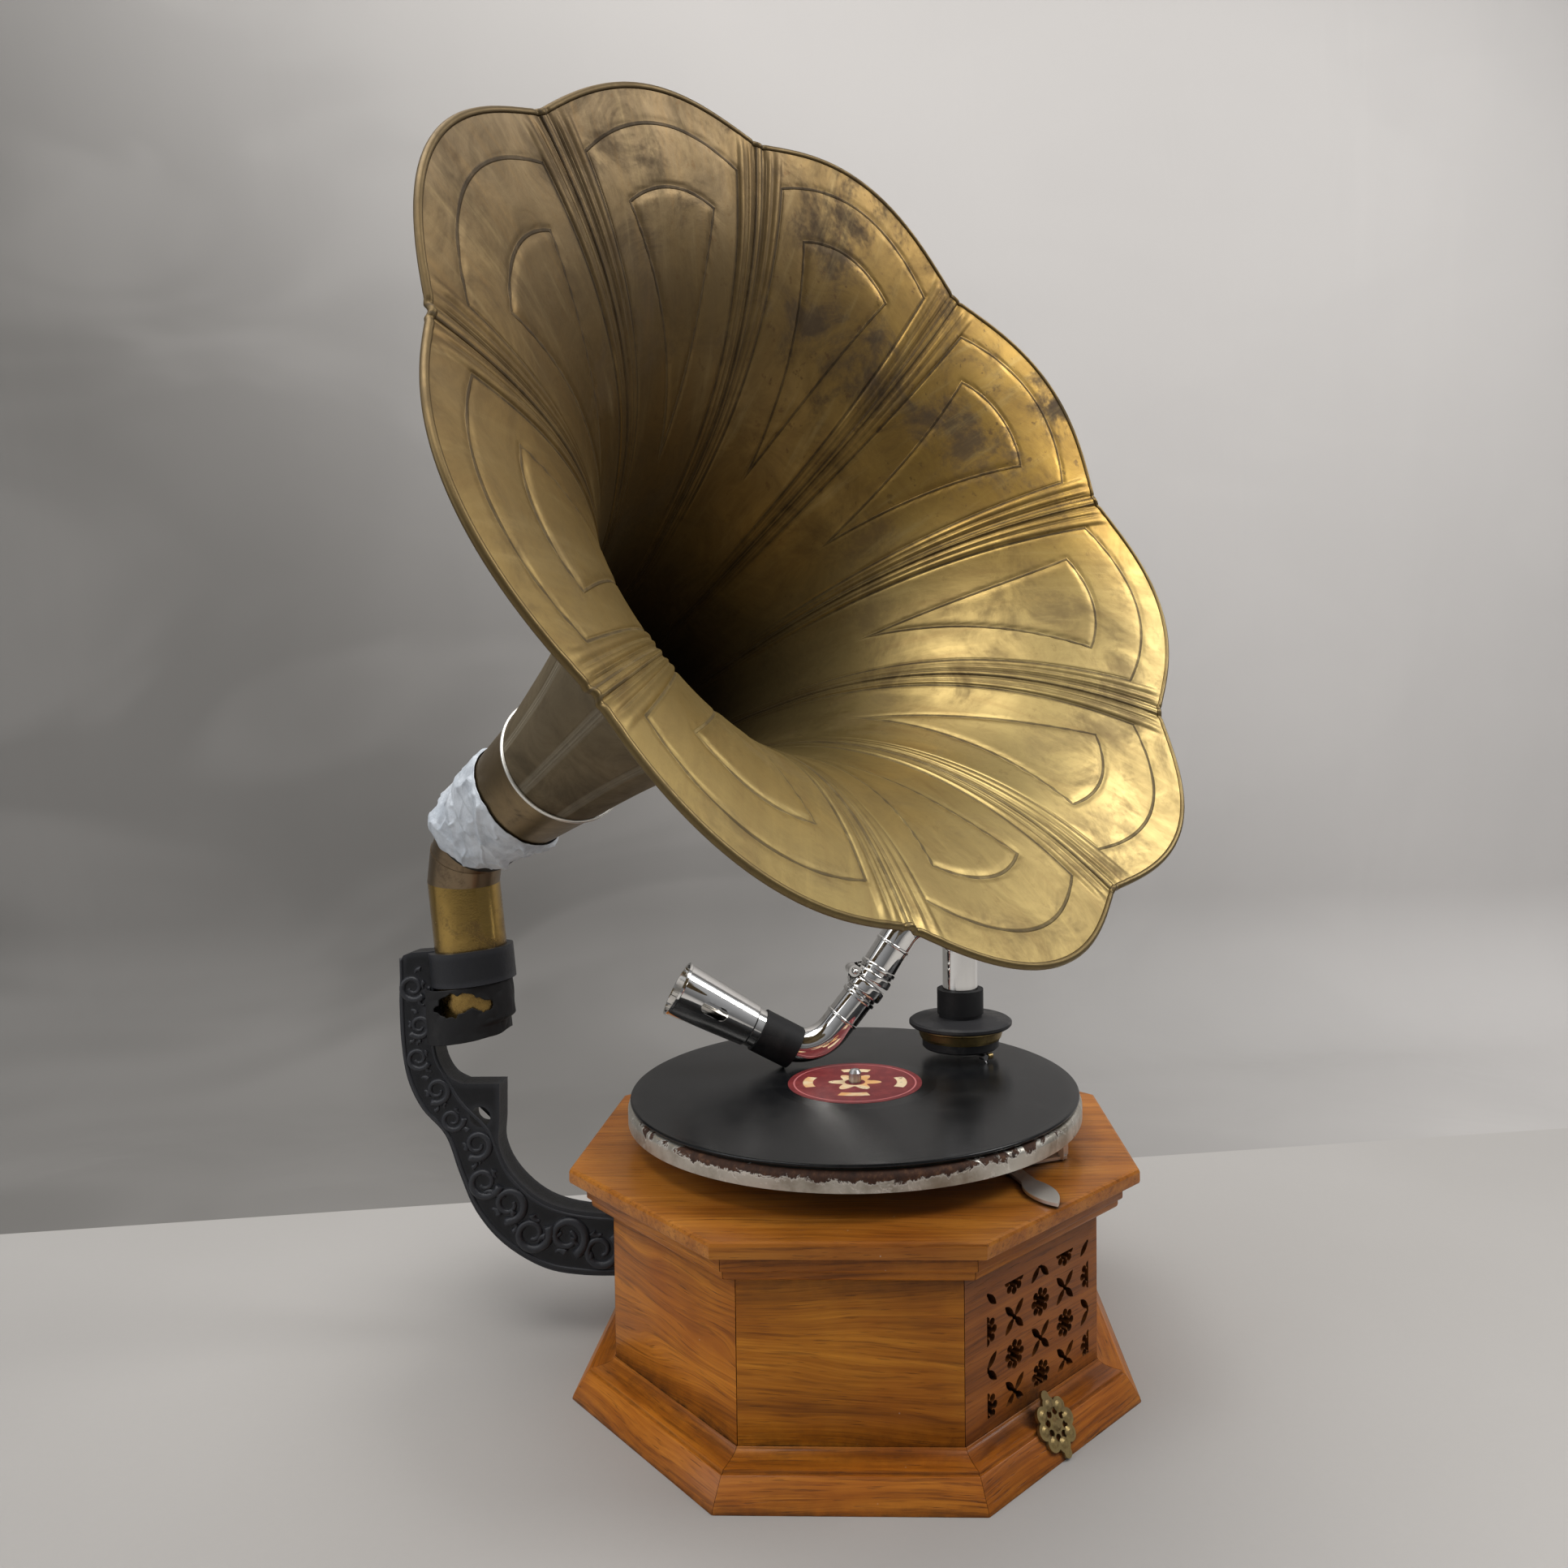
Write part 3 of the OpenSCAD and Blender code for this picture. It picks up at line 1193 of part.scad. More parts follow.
module mainspring() {
    gap = 2.25;
    out = barrel_d / 2 - gap;
    steps = spring_coils * 24;
    function coil(i, side) = let (a = i * 360 / 24, r = spring_in + (out - spring_in) * i / steps
        + side * spring_t)
        [r * cos(a), r * sin(a)];
    color("steelblue") translate([barrel_x, barrel_y, barrel_z + 2.2]) linear_extrude(barrel_h - 4.4)
        polygon(concat([for (i = [0:steps]) coil(i, -0.5)], [for (i = [steps:-1:0]) coil(i, 0.5)]));
}

// Arbor with the crown wheel that the winding shaft turns, and the ratchet wheel under it
ratchet_z = plate_room_z + 1;
ratchet_t = 3;
ratchet_teeth = 12;
ratchet_r = 12;
crown_tooth_h = 1.8;

module ratchet_outline() {
    polygon([for (k = [0:ratchet_teeth - 1]) each [
        ratchet_r * [cos(k * 360 / ratchet_teeth), sin(k * 360 / ratchet_teeth)],
        (ratchet_r - 2.4) * [cos(k * 360 / ratchet_teeth + 2), sin(k * 360 / ratchet_teeth + 2)]]]);
}

module crown_tooth() {
    half = crown_module * PI / 4 - crown_backlash / 4;
    rise = 0.9;
    translate([crown_r - crown_face / 2, 0, crown_pitch_z]) rotate([90, 0, 90]) linear_extrude(crown_face)
        polygon([[-half - 0.42, -rise - 0.3], [half + 0.42, -rise - 0.3], [half - 0.36, rise - 0.1],
            [-half + 0.36, rise - 0.1]]);
}

module barrel_arbor() {
    disc_top = crown_pitch_z - 1.15;
    color("gray") translate([barrel_x, barrel_y, 0]) {
        translate([0, 0, plate_room_z + 0.4]) cylinder(d = arbor_d, h = great_z + great_t
            + 1.5 - plate_room_z);
        translate([0, 0, bottom_plate_z]) cylinder(d = arbor_d - 2, h = top_plate_z
            + plate_t - bottom_plate_z - 1);
        translate([0, 0, disc_top - 2.6]) cylinder(r = crown_r + crown_face / 2, h = 2.6);
        translate([0, 0, ratchet_z]) linear_extrude(ratchet_t) ratchet_outline();
        for (k = [0:crown_teeth - 1]) rotate([0, 0, k * 360 / crown_teeth + 90]) crown_tooth();
    }
}

pawl_pivot = [barrel_x - 14, barrel_y - 14];
pawl_d = 6;

// Shown lifted just clear of the ratchet; it drops behind a tooth and keeps the wound arbor from running back
pawl_lift = 8;

module ratchet_pawl() {
    tip = [barrel_x - ratchet_r + 1.2, barrel_y - 0.45] - pawl_pivot;
    color("silver") {
        translate([pawl_pivot.x, pawl_pivot.y, plate_room_z + seat_gap])
            cylinder(d = pawl_d, h = ratchet_t + 1.6, $fn = 48);
        translate([pawl_pivot.x, pawl_pivot.y, ratchet_z + 0.4]) rotate([0, 0, pawl_lift])
            linear_extrude(ratchet_t - 0.8)
                polygon([[-2.2, 1], [2.2, 0.5], [tip.x, tip.y - 2.6], tip, [tip.x - 1.8, tip.y - 1]]);
    }
}

module idler_gear() {
    color("gold") translate([idler_x, idler_y, 0]) {
        translate([0, 0, plate_room_z + 0.3]) cylinder(d = idler_d, h = top_plate_z - plate_room_z - 0.6,
            $fn = 48);
        translate([0, 0, bottom_plate_z]) cylinder(d = idler_d - 1, h = top_plate_z
            + plate_t - bottom_plate_z - 0.5, $fn = 48);
        translate([0, 0, idler_wheel_z]) rotate([0, 0, idler_wheel_turn]) gear(module_spindle,
            teeth_idler, gear_t);
        translate([0, 0, great_z + drum_gap]) gear(module_barrel, teeth_pinion, great_t);
    }
}

// Governor: worm, hub, three sprung weights and friction disc on one level shaft
governor_x0 = -16;
governor_x1 = 66;
governor_d = 4;
disc_d = 34;
disc_t = 2.2;
worm_starts = 3;
worm_len = 14;
worm_lead = worm_starts * module_spindle * PI;
worm_turn = 90 - 180 * worm_len / worm_lead;

module on_governor(x) {
    translate([x, governor_y, governor_z]) rotate([0, 90, 0]) children();
}

// Thread section swept round the shaft as one closed polyhedron per start
module worm_thread(turn) {
    lead = worm_lead;
    n = 24;
    turns = worm_len / lead;
    total = ceil(turns * n);
    root = governor_d / 2 + 1;
    top = worm_pitch_r + 0.7 * module_spindle;
    wide = module_spindle * PI / 2 - 0.6;
    section = [[root, wide * 0.8], [top, wide * 0.28], [top, -wide * 0.28], [root, -wide * 0.8]];
    points = [for (i = [0:total]) let (a = i * 360 / n + turn, x = -worm_len / 2 + i / n * lead)
        for (p = section) [p[0] * cos(a), p[0] * sin(a), x + p[1]]];
    faces = concat([[0, 1, 2], [0, 2, 3]],
        [for (i = [0:total - 1], k = [0:3]) let (q = (k + 1) % 4)
            each [[4 * i + k, 4 * i + 4 + k, 4 * i + 4 + q], [4 * i + k, 4 * i + 4 + q, 4 * i + q]]],
        [[4 * total + 2, 4 * total + 1, 4 * total], [4 * total + 3, 4 * total + 2, 4 * total]]);
    polyhedron(points = points, faces = faces, convexity = 10);
}

module governor_shaft() {
    color("gray") {
        on_governor(governor_x0) cylinder(d = governor_d, h = governor_x1 - governor_x0, $fn = 48);
        on_governor(-worm_len / 2 - 1) cylinder(r = governor_d / 2 + 1.1, h = worm_len + 2, $fn = 48);
        on_governor(0) for (k = [0:worm_starts - 1]) worm_thread(worm_turn + k * 360 / worm_starts);
        on_governor(16) cylinder(d = 11, h = 4, $fn = 48);
        on_governor(50) cylinder(d = 11, h = 3, $fn = 48);
        on_governor(53) cylinder(d = disc_d, h = disc_t);
    }
}

module governor_weights() {
    weights = 3;
    color("goldenrod") for (k = [0:weights - 1]) {
        on_governor(0) rotate([0, 0, k * 360 / weights]) {
            translate([5.5 + seat_gap, -2.4, 16]) cube([0.5, 4.8, 37 - 2 * seat_gap]);
            translate([6 + seat_gap, 0, 34.5]) translate([0, 0, -4.5]) intersection() {
                cylinder(r = 6.4, h = 9, $fn = 48);
                translate([0, -7, 0]) cube([14, 14, 9]);
            }
        }
    }
}

module governor_bearings() {
    color("slategray") for (x = [governor_x0 - 1, governor_x1 - 3]) difference() {
        translate([x, governor_y - 5, governor_z - 5]) cube([4, 10,
            top_plate_z - seat_gap - governor_z + 5]);
        on_governor(x - cut) cylinder(d = governor_d + 2 * run_gap, h = 4 + 2 * cut, $fn = 48);
    }
}

// Speed regulator: a felt-tipped arm on an upright pin, beside the governor's disc
regulator_x = 62;
regulator_y = 4;
regulator_d = 4;

module regulator_arm() {
    pad_x0 = 53 + disc_t + 0.35;
    pad_y = -12;
    color("gray") {
        translate([regulator_x, regulator_y, governor_z - 3])
            cylinder(d = regulator_d, h = top_plate_z + plate_t - 0.4 - governor_z + 3, $fn = 48);
        translate([regulator_x, regulator_y, governor_z - 3]) cylinder(d = 9, h = 6, $fn = 48);
        translate([0, 0, governor_z - 1.5]) linear_extrude(3)
            polygon([[regulator_x - 3.5, regulator_y + 1], [regulator_x + 2, regulator_y - 2],
                [pad_x0 + 3, pad_y + 1], [pad_x0 + 3, pad_y - 3], [pad_x0 + 1, pad_y - 3], [pad_x0 + 1,
                    pad_y + 2]]);
        translate([pad_x0, pad_y - 2.5, governor_z - 2]) cube([2, 4, 4]);
    }
}

// Winding shaft, level and pointing out of the back, with its pinion over the crown wheel

shaft_end_y = lid_flats / 2 + 8;
pinion_y = barrel_y + crown_r;

module along_back(y) {
    translate([barrel_x, y, crank_z]) rotate([-90, 0, 0]) children();
}

module winding_shaft() {
    color("gray") {
        along_back(pinion_y - crown_face / 2 - 1.5) rotate([0, 0, 360 / teeth_pinion / 2 + 0])
            gear(crown_module, teeth_pinion, crown_face + 3, crown_backlash);
        along_back(pinion_y - crown_face / 2 - 2) cylinder(d = 6, h = 6, $fn = 48);
        along_back(pinion_y + crown_face / 2 + 1.6) cylinder(d = shaft_d,
            h = shaft_end_y - pinion_y - crown_face / 2 - 1.6);
    }
}

module crank_escutcheon() {
    plate_d = 30;
    rivets = 3;
    color("gray") {
        difference() {
            along_back(wall_half + seat_gap) cylinder(d = plate_d, h = 2);
            along_back(wall_half - cut) cylinder(d = shaft_d + 2 * run_gap, h = 4);
        }
        for (k = [0:rivets - 1]) along_back(wall_half + 2) rotate([0, 0, k * 360 / rivets])
            translate([plate_d / 2 - 4.5, 0, 0]) cylinder(d1 = 4, d2 = 2.4, h = 1, $fn = 32);
    }
}

module crank_arm() {
    arm_y = shaft_end_y - 12;
    hub_y = arm_y + 4;
    bar_t = 5;
    pin_len = 47.2;
    color("silver") difference() {
        union() {
            along_back(hub_y) cylinder(d = 16, h = 7);
            along_back(arm_y + 6) translate([0, -4.5, 0]) cube([crank_reach, 9, bar_t]);
            along_back(arm_y + 6) translate([crank_reach, 0, 0]) cylinder(d = 11, h = bar_t, $fn = 48);
            along_back(arm_y + 6) translate([crank_reach, 0, 0]) cylinder(d = 6, h = pin_len, $fn = 48);
            along_back(arm_y + 6 + pin_len) translate([crank_reach, 0, 0]) cylinder(d = 9, h = 1.6,
                $fn = 48);
        }
        along_back(arm_y - cut) cylinder(d = shaft_d + 2 * seat_gap, h = 13 + cut);
    }
}

module crank_grip() {
    arm_y = shaft_end_y - 12;
    len = 40;
    color("saddlebrown") along_back(arm_y + 11 + move_gap) translate([crank_reach, 0, 0]) rotate_extrude()
        polygon(concat([[3 + run_gap, 0], [grip_d / 2 - 3, 0]],
            [for (k = [0:8]) [grip_d / 2 - 2.6 * pow(cos(k * 22.5), 2) , len * k / 8]],
            [[grip_d / 2 - 3.4, len + 0.6], [3 + run_gap, len + 0.6]]));
}

base_board();
plinth();
front_panel();
fretwork_panel();
right_panel();
back_right_panel();
back_panel();
back_left_panel();
left_panel();
front_left_panel();
top_moulding();
lid_board();
rosette();
horn_bracket();
bracket_screws();
horn_pipe();
horn_elbow();
pipe_collar();
horn_sleeve();
tape_wrap();
horn_neck();
neck_ring();
horn_bell();
turntable();
turntable_mat();
record();
record_label();
spindle();
arm_cone();
arm_sleeve();
arm_tube();
knuckle_pin();
gooseneck();
soundbox_sleeve();
soundbox_back();
soundbox_housing();
soundbox_front();
diaphragm();
stylus_bar();
needle_screw();
needle();
brake_lever();
lever_screw();
brake_pad();
motor_top_plate();
motor_bottom_plate();
motor_pillars();
spring_barrel();
mainspring();
barrel_arbor();
ratchet_pawl();
idler_gear();
governor_shaft();
governor_weights();
governor_bearings();
regulator_arm();
winding_shaft();
crank_arm();
crank_grip();
crank_escutcheon();
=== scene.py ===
from contextlib import contextmanager
from math import atan2, cos, hypot, pi, radians, sin, tan

import bmesh
import bpy
import numpy as np
from mathutils import Matrix, Vector


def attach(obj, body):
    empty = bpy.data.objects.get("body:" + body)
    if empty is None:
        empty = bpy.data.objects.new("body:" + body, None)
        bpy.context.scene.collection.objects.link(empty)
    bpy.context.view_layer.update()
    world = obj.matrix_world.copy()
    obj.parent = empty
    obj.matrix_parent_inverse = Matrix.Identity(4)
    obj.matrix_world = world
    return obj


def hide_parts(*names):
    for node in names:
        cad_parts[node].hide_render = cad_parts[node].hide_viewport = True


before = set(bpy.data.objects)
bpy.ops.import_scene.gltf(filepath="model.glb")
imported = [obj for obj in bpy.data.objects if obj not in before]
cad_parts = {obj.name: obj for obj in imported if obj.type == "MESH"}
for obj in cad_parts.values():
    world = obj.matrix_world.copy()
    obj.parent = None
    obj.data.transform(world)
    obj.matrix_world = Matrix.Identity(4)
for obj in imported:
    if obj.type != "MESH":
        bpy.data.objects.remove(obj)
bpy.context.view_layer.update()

MM = 0.001
X, Y, Z = np.eye(3)


# Small tools for vectors, all in millimetres

def v3(*a):
    return np.array(a, float)


def unit(v):
    """The vector, or each row of them, at length one."""
    v = np.asarray(v, float)
    return v / np.linalg.norm(v, axis=-1, keepdims=True)


def full_turn(n):
    """n angles, evenly round."""
    return np.linspace(0, 2 * pi, n, endpoint=False)


def around(a, e1, e2):
    """Directions at the angles a, turned from e1 towards e2."""
    return np.cos(a)[..., None] * e1 + np.sin(a)[..., None] * e2


def run_of(line):
    """Distance along a line of points, from its start."""
    return np.concatenate([[0], np.cumsum(np.linalg.norm(np.diff(line, axis=0), axis=1))])


def basis(axis):
    """Three axes with the third along axis, turned as the solids of the frame are."""
    e3 = unit(axis)
    flat = hypot(e3[0], e3[1])
    c, s = (e3[0] / flat, e3[1] / flat) if flat > 1e-9 else (1.0, 0.0)
    e1 = v3(e3[2] * c, e3[2] * s, -flat)
    return np.array([e1, np.cross(e3, e1), e3])


def smooth01(x):
    x = np.clip(x, 0, 1)
    return x * x * (3 - 2 * x)


# Smooth random field of fixed seed, for shapes that are bent, crumpled or worn

class Field:
    def __init__(self, seed, waves=40):
        r = np.random.default_rng(seed)
        self.k = r.normal(size=(waves, 3))
        self.p = r.uniform(0, 2 * pi, waves)
        self.a = r.uniform(0.5, 1.0, waves)
        self.a /= np.sqrt((self.a ** 2).sum() / 2)

    def __call__(self, q, size):
        q = np.asarray(q, float) / size
        return (np.sin(q @ self.k.T + self.p) * self.a).sum(-1)


# Mesh makers

def add_object(name, data):
    obj = bpy.data.objects.new(name, data)
    bpy.context.scene.collection.objects.link(obj)
    return obj


@contextmanager
def edited(mesh):
    """The mesh as a bmesh, written back at the end."""
    bm = bmesh.new()
    bm.from_mesh(mesh)
    yield bm
    bm.to_mesh(mesh)
    bm.free()


def make_mesh(name, verts, faces, smooth=True):
    """Mesh object from points in millimetres."""
    mesh = bpy.data.meshes.new(name)
    mesh.from_pydata([tuple(p) for p in (np.asarray(verts, float) * MM)], [], faces)
    mesh.validate()
    if smooth:
        mesh.shade_smooth()
    return add_object(name, mesh)


def grid(name, points, wrap_cols=True, wrap_rows=False):
    """Mesh of four-sided faces through rows of points."""
    points = np.asarray(points, float)
    rows, cols = points.shape[:2]
    i = np.arange(rows if wrap_rows else rows - 1)
    k = np.arange(cols if wrap_cols else cols - 1)
    ii, kk = np.meshgrid(i, k, indexing="ij")
    i2, k2 = (ii + 1) % rows, (kk + 1) % cols
    faces = np.stack([ii * cols + kk, ii * cols + k2, i2 * cols + k2, i2 * cols + kk], -1)
    return make_mesh(name, points.reshape(-1, 3), faces.reshape(-1, 4).tolist())


def tidy_normals(obj):
    with edited(obj.data) as bm:
        bmesh.ops.remove_doubles(bm, verts=bm.verts, dist=1e-6)
        bmesh.ops.recalc_face_normals(bm, faces=bm.faces)
    return obj


def block(name, near, far):
    """Closed solid between two outlines of as many points."""
    n = len(near)
    faces = [[k, (k + 1) % n, n + (k + 1) % n, n + k] for k in range(n)]
    faces += [list(range(n))[::-1], list(range(n, 2 * n))]
    return tidy_normals(make_mesh(name, [*near, *far], faces, False))


def join(name, parts):
    """One mesh object made from several, which are then removed."""
    mesh = bpy.data.meshes.new(name)
    with edited(mesh) as bm:
        for part in parts:
            bm.from_mesh(part.data)
            bpy.data.objects.remove(part)
    return add_object(name, mesh)


def sweep(name, path, radius, steps=8, flat=0.95):
    """Round bar along a path in an upright plane; radius changes along it, flat squeezes it along Y."""
    side = np.cross(unit(np.gradient(path, axis=0)), Y)
    way = around(full_turn(steps), side[:, None], flat * Y)
    obj = grid(name, path[:, None] + radius[:, None, None] * way)
    with edited(obj.data) as bm:
        bmesh.ops.holes_fill(bm, edges=[e for e in bm.edges if len(e.link_faces) == 1], sides=0)
        bmesh.ops.recalc_face_normals(bm, faces=bm.faces)
        for f in bm.faces:
            f.smooth = len(f.verts) == 4
    return obj


def apply_modifiers(obj):
    dg = bpy.context.evaluated_depsgraph_get()
    mesh = bpy.data.meshes.new_from_object(obj.evaluated_get(dg))
    old = obj.data
    obj.modifiers.clear()
    obj.data = mesh
    bpy.data.meshes.remove(old)


def bevel(obj, width, angle=30):
    """Rounds an object's sharp edges and applies the result."""
    mod = obj.modifiers.new("bevel", "BEVEL")
    mod.width = width * MM
    mod.segments = 2
    mod.limit_method = "ANGLE"
    mod.angle_limit = radians(angle)
    apply_modifiers(obj)
    obj.data.shade_smooth()
    obj.data.set_sharp_from_angle(angle=radians(35))
    return obj


def attribute(obj, name, values):
    values = np.asarray(values, np.float32)
    kind = "FLOAT_VECTOR" if values.ndim == 2 else "FLOAT"
    a = obj.data.attributes.new(name, kind, "POINT")
    a.data.foreach_set("vector" if values.ndim == 2 else "value", values.ravel())


def dress(obj, material):
    obj.data.materials.clear()
    obj.data.materials.append(material)


def finish_piece(obj, body, slot, material, *nodes):
    dress(obj, material)
    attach(obj, body)
    if nodes:
        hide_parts(*nodes)
    return obj


# Procedural materials

class Out:
    """Output of a node; arithmetic on it adds maths nodes."""

    def __init__(self, graph, socket):
        self.graph, self.socket = graph, socket

    def __add__(self, other):
        return self.graph.math("ADD", self, other)

    def __sub__(self, other):
        return self.graph.math("SUBTRACT", self, other)

    def __rsub__(self, other):
        return self.graph.math("SUBTRACT", other, self)

    def __mul__(self, other):
        return self.graph.math("MULTIPLY", self, other)

    def __truediv__(self, other):
        return self.graph.math("DIVIDE", self, other)

    def __abs__(self):
        return self.graph.math("ABSOLUTE", self)

    __radd__, __rmul__ = __add__, __mul__


class Graph:
    """Builds the nodes of a material or of the world around one shader."""

    def __init__(self, owner, shader, output):
        self.owner = owner
        owner.use_nodes = True
        self.tree = owner.node_tree
        self.tree.nodes.clear()
        self.shader = self.tree.nodes.new("ShaderNode" + shader)
        out = self.tree.nodes.new("ShaderNodeOutput" + output)
        self.tree.links.new(self.shader.outputs[0], out.inputs[0])

    def plug(self, socket, value):
        if isinstance(value, Out):
            self.tree.links.new(value.socket, socket)
        elif isinstance(value, (int, float)) and socket.type in ("RGBA", "VECTOR"):
            socket.default_value = [value] * 3 + ([1] if socket.type == "RGBA" else [])
        elif isinstance(value, tuple) and socket.type == "RGBA" and len(value) == 3:
            socket.default_value = (*value, 1)
        else:
            socket.default_value = value

    def node(self, kind, inputs=(), props=None, out=0):
        n = self.tree.nodes.new("ShaderNode" + kind)
        for key, value in (props or {}).items():
            setattr(n, key, value)
        for key, value in dict(inputs).items():
            self.plug(n.inputs[key], value)
        return Out(self, n.outputs[out])

    def attr(self, name, out="Vector"):
        return self.node("Attribute", props={"attribute_name": name}, out=out)

    def math(self, op, a, b=0.0):
        return self.node("Math", {0: a, 1: b}, {"operation": op})

    def most(self, first, *others):
        """The largest of the values at each place."""
        for other in others:
            first = self.math("MAXIMUM", first, other)
        return first

    def least(self, a, b):
        return self.math("MINIMUM", a, b)

    def split(self, vector):
        return [self.node("SeparateXYZ", {0: vector}, out=i) for i in range(3)]

    def vector(self, x=0.0, y=0.0, z=0.0):
        return self.node("CombineXYZ", {0: x, 1: y, 2: z})

    def noise(self, vector, scale, detail=3.0, rough=0.55, warp=0.0):
        """Noise of one scale, or of three, one for each axis."""
        if isinstance(scale, tuple):
            vector, scale = self.node("VectorMath", {0: vector, 1: scale}, {"operation": "MULTIPLY"}), 1.0
        return self.node("TexNoise", {"Vector": vector, "Scale": scale, "Detail": detail,
                                      "Roughness": rough, "Distortion": warp}, out="Fac")

    def cells(self, vector, scale):
        return self.node("TexVoronoi", {"Vector": vector, "Scale": scale}, out="Distance")

    def step(self, value, low, high, a=0.0, b=1.0):
        """a below low, b above high, smooth between."""
        ends = {"Value": value, "From Min": low, "From Max": high, "To Min": a, "To Max": b}
        return self.node("MapRange", ends, {"interpolation_type": "SMOOTHSTEP"})

    def fall(self, value, low, high):
        """One below low, nothing above high."""
        return self.step(value, low, high, 1.0, 0.0)

    def ramp(self, value, stops):
        n = self.tree.nodes.new("ShaderNodeValToRGB")
        marks = n.color_ramp.elements
        while len(marks) < len(stops):
            marks.new(0.5)
        for m, (place, colour) in zip(marks, sorted(stops)):
            m.position = place
            m.color = (*colour, 1)
        self.plug(n.inputs[0], value)
        return Out(self, n.outputs[0])

    def mix(self, fac, a, b, mode="MIX"):
        return self.node("Mix", {0: fac, 6: a, 7: b}, {"data_type": "RGBA", "blend_type": mode}, 2)

    def lerp(self, fac, a, b):
        return self.node("Mix", {0: fac, 2: a, 3: b}, {"data_type": "FLOAT"})

    def bump(self, height, distance, strength=1.0, **normal):
        return self.node("Bump", {"Height": height, "Distance": distance, "Strength": strength, **normal})

    def hollow(self, distance, inside=False):
        """Ambient occlusion: dark in corners and joints."""
        return self.node("AmbientOcclusion", {"Distance": distance}, {"samples": 4, "inside": inside}, "AO")

    def done(self, **inputs):
        for key, value in inputs.items():
            self.plug(self.shader.inputs[key.replace("_", " ")], value)
        return self.owner


def paint(name):
    """Graph of a new material, and the object's coordinates in it."""
    g = Graph(bpy.data.materials.new(name), "BsdfPrincipled", "Material")
    return g, g.node("TexCoord", out="Object")


def wood(name, dark, mid, light, rings=1.0, stain=0.35, gloss=0.36):
    """Varnished board; the grain attribute gives (along, across, through) in metres."""
    g, here = paint(name)
    p = g.attr("grain")
    bend = g.noise(p, (5.0, 16.0, 16.0), 2.0)
    along, across, through = g.split(p)
    shifted = across + (bend - 0.5) * (0.03 * rings)
    q = g.vector(along, shifted, through)
    bands = g.noise(q, (2.6, 75.0, 40.0), 4.0, 0.55, 0.3)
    figure = g.noise(q, (14.0, 9.0, 9.0), 3.0, 0.5, 0.4)
    streak = g.noise(q, (9.0, 420.0, 300.0), 5.0, 0.6)
    dash = g.step(g.noise(q, (26.0, 620.0, 620.0), 3.0, 0.55), 0.54, 0.66)
    fibre = g.noise(q, (38.0, 1800.0, 1400.0), 3.0, 0.6)
    pores = g.step(g.noise(q, (70.0, 1500.0, 1500.0), 2.0, 0.5), 0.62, 0.72)
    tone = bands * 0.45 + streak * 0.34 + fibre * 0.14 + figure * 0.22 - 0.07
    colour = g.ramp(tone, [(0.34, dark), (0.49, mid), (0.64, light)])
    colour = g.mix(dash * 0.5, colour, dark)
    blotch = g.noise(here, 22.0, 3.0, 0.5)
    stained = g.mix(1.0, colour, (0.72, 0.5, 0.36), "MULTIPLY")
    colour = g.mix(g.step(blotch, 0.42, 0.68, 0.0, stain), colour, stained)
    colour = g.mix(pores * 0.5, colour, tuple(c * 0.35 for c in dark))
    # Grime and painted shade: the wood darkens in corners, in joints and under the mouldings, where the
    # ambient occlusion is low
    grime_and_shade = g.step(g.hollow(0.018), 0.42, 0.98, 0.97, 0.0)
    grime_and_shade = grime_and_shade * g.step(g.noise(here, 160.0, 4.0, 0.65), 0.3, 0.7, 0.45, 1.0)
    colour = g.mix(grime_and_shade, colour, (0.028, 0.014, 0.006))
    specks = g.fall(g.cells(here, 90.0), 0.0, 0.05)
    specks = specks * g.step(g.noise(here, 14.0, 1.0), 0.6, 0.64)
    colour = g.mix(specks * 0.6, colour, (0.62, 0.54, 0.42))
    rough = streak * 0.14 + blotch * 0.12 + grime_and_shade * 0.25 + (gloss - 0.1)
    height = fibre * 0.35 + pores * -0.8 + streak * 0.4
    return g.done(Base_Color=colour, Roughness=rough, Normal=g.bump(height, 0.00022, 0.6),
                  Coat_Weight=0.12, Coat_Roughness=0.16, Specular_IOR_Level=0.22)


def old_brass(name, bright, dull, rough=0.36, blotchy=0.5, size=1.0, hollow_reach=0.006):
    """Unpolished brass: bright metal, a dull film, brown blotches, and darker colour in the corners."""
    g, p = paint(name)
    cloud = g.noise(p, 11.0 / size, 5.0, 0.6, 0.4)
    patch = g.noise(p, 30.0 / size, 6.0, 0.68, 0.8)
    grit = g.noise(p, 420.0 / size, 4.0, 0.6)
    film = g.step(cloud * 0.65 + patch * 0.35, 0.36, 0.66)
    colour = g.mix(film, bright, dull)
    spots = g.step(patch * 0.7 + grit * 0.3, 0.53, 0.66) * blotchy
    colour = g.mix(spots, colour, (0.07, 0.045, 0.025))
    # Darker in corners and joints, where the ambient occlusion is low
    hollow_dark = g.step(g.hollow(hollow_reach), 0.3, 0.98, 0.9, 0.0) * g.step(grit, 0.3, 0.6, 0.5, 1.0)
    colour = g.mix(hollow_dark, colour, (0.03, 0.02, 0.012))
    roughness = rough - 0.08 + film * 0.14 + spots * 0.18 + grit * 0.1
    return g.done(Base_Color=colour, Metallic=g.lerp(g.most(spots, hollow_dark), 1.0, 0.55), Roughness=roughness,
                  Normal=g.bump(patch * 0.5 + grit * 0.25, 0.0004, 0.35))


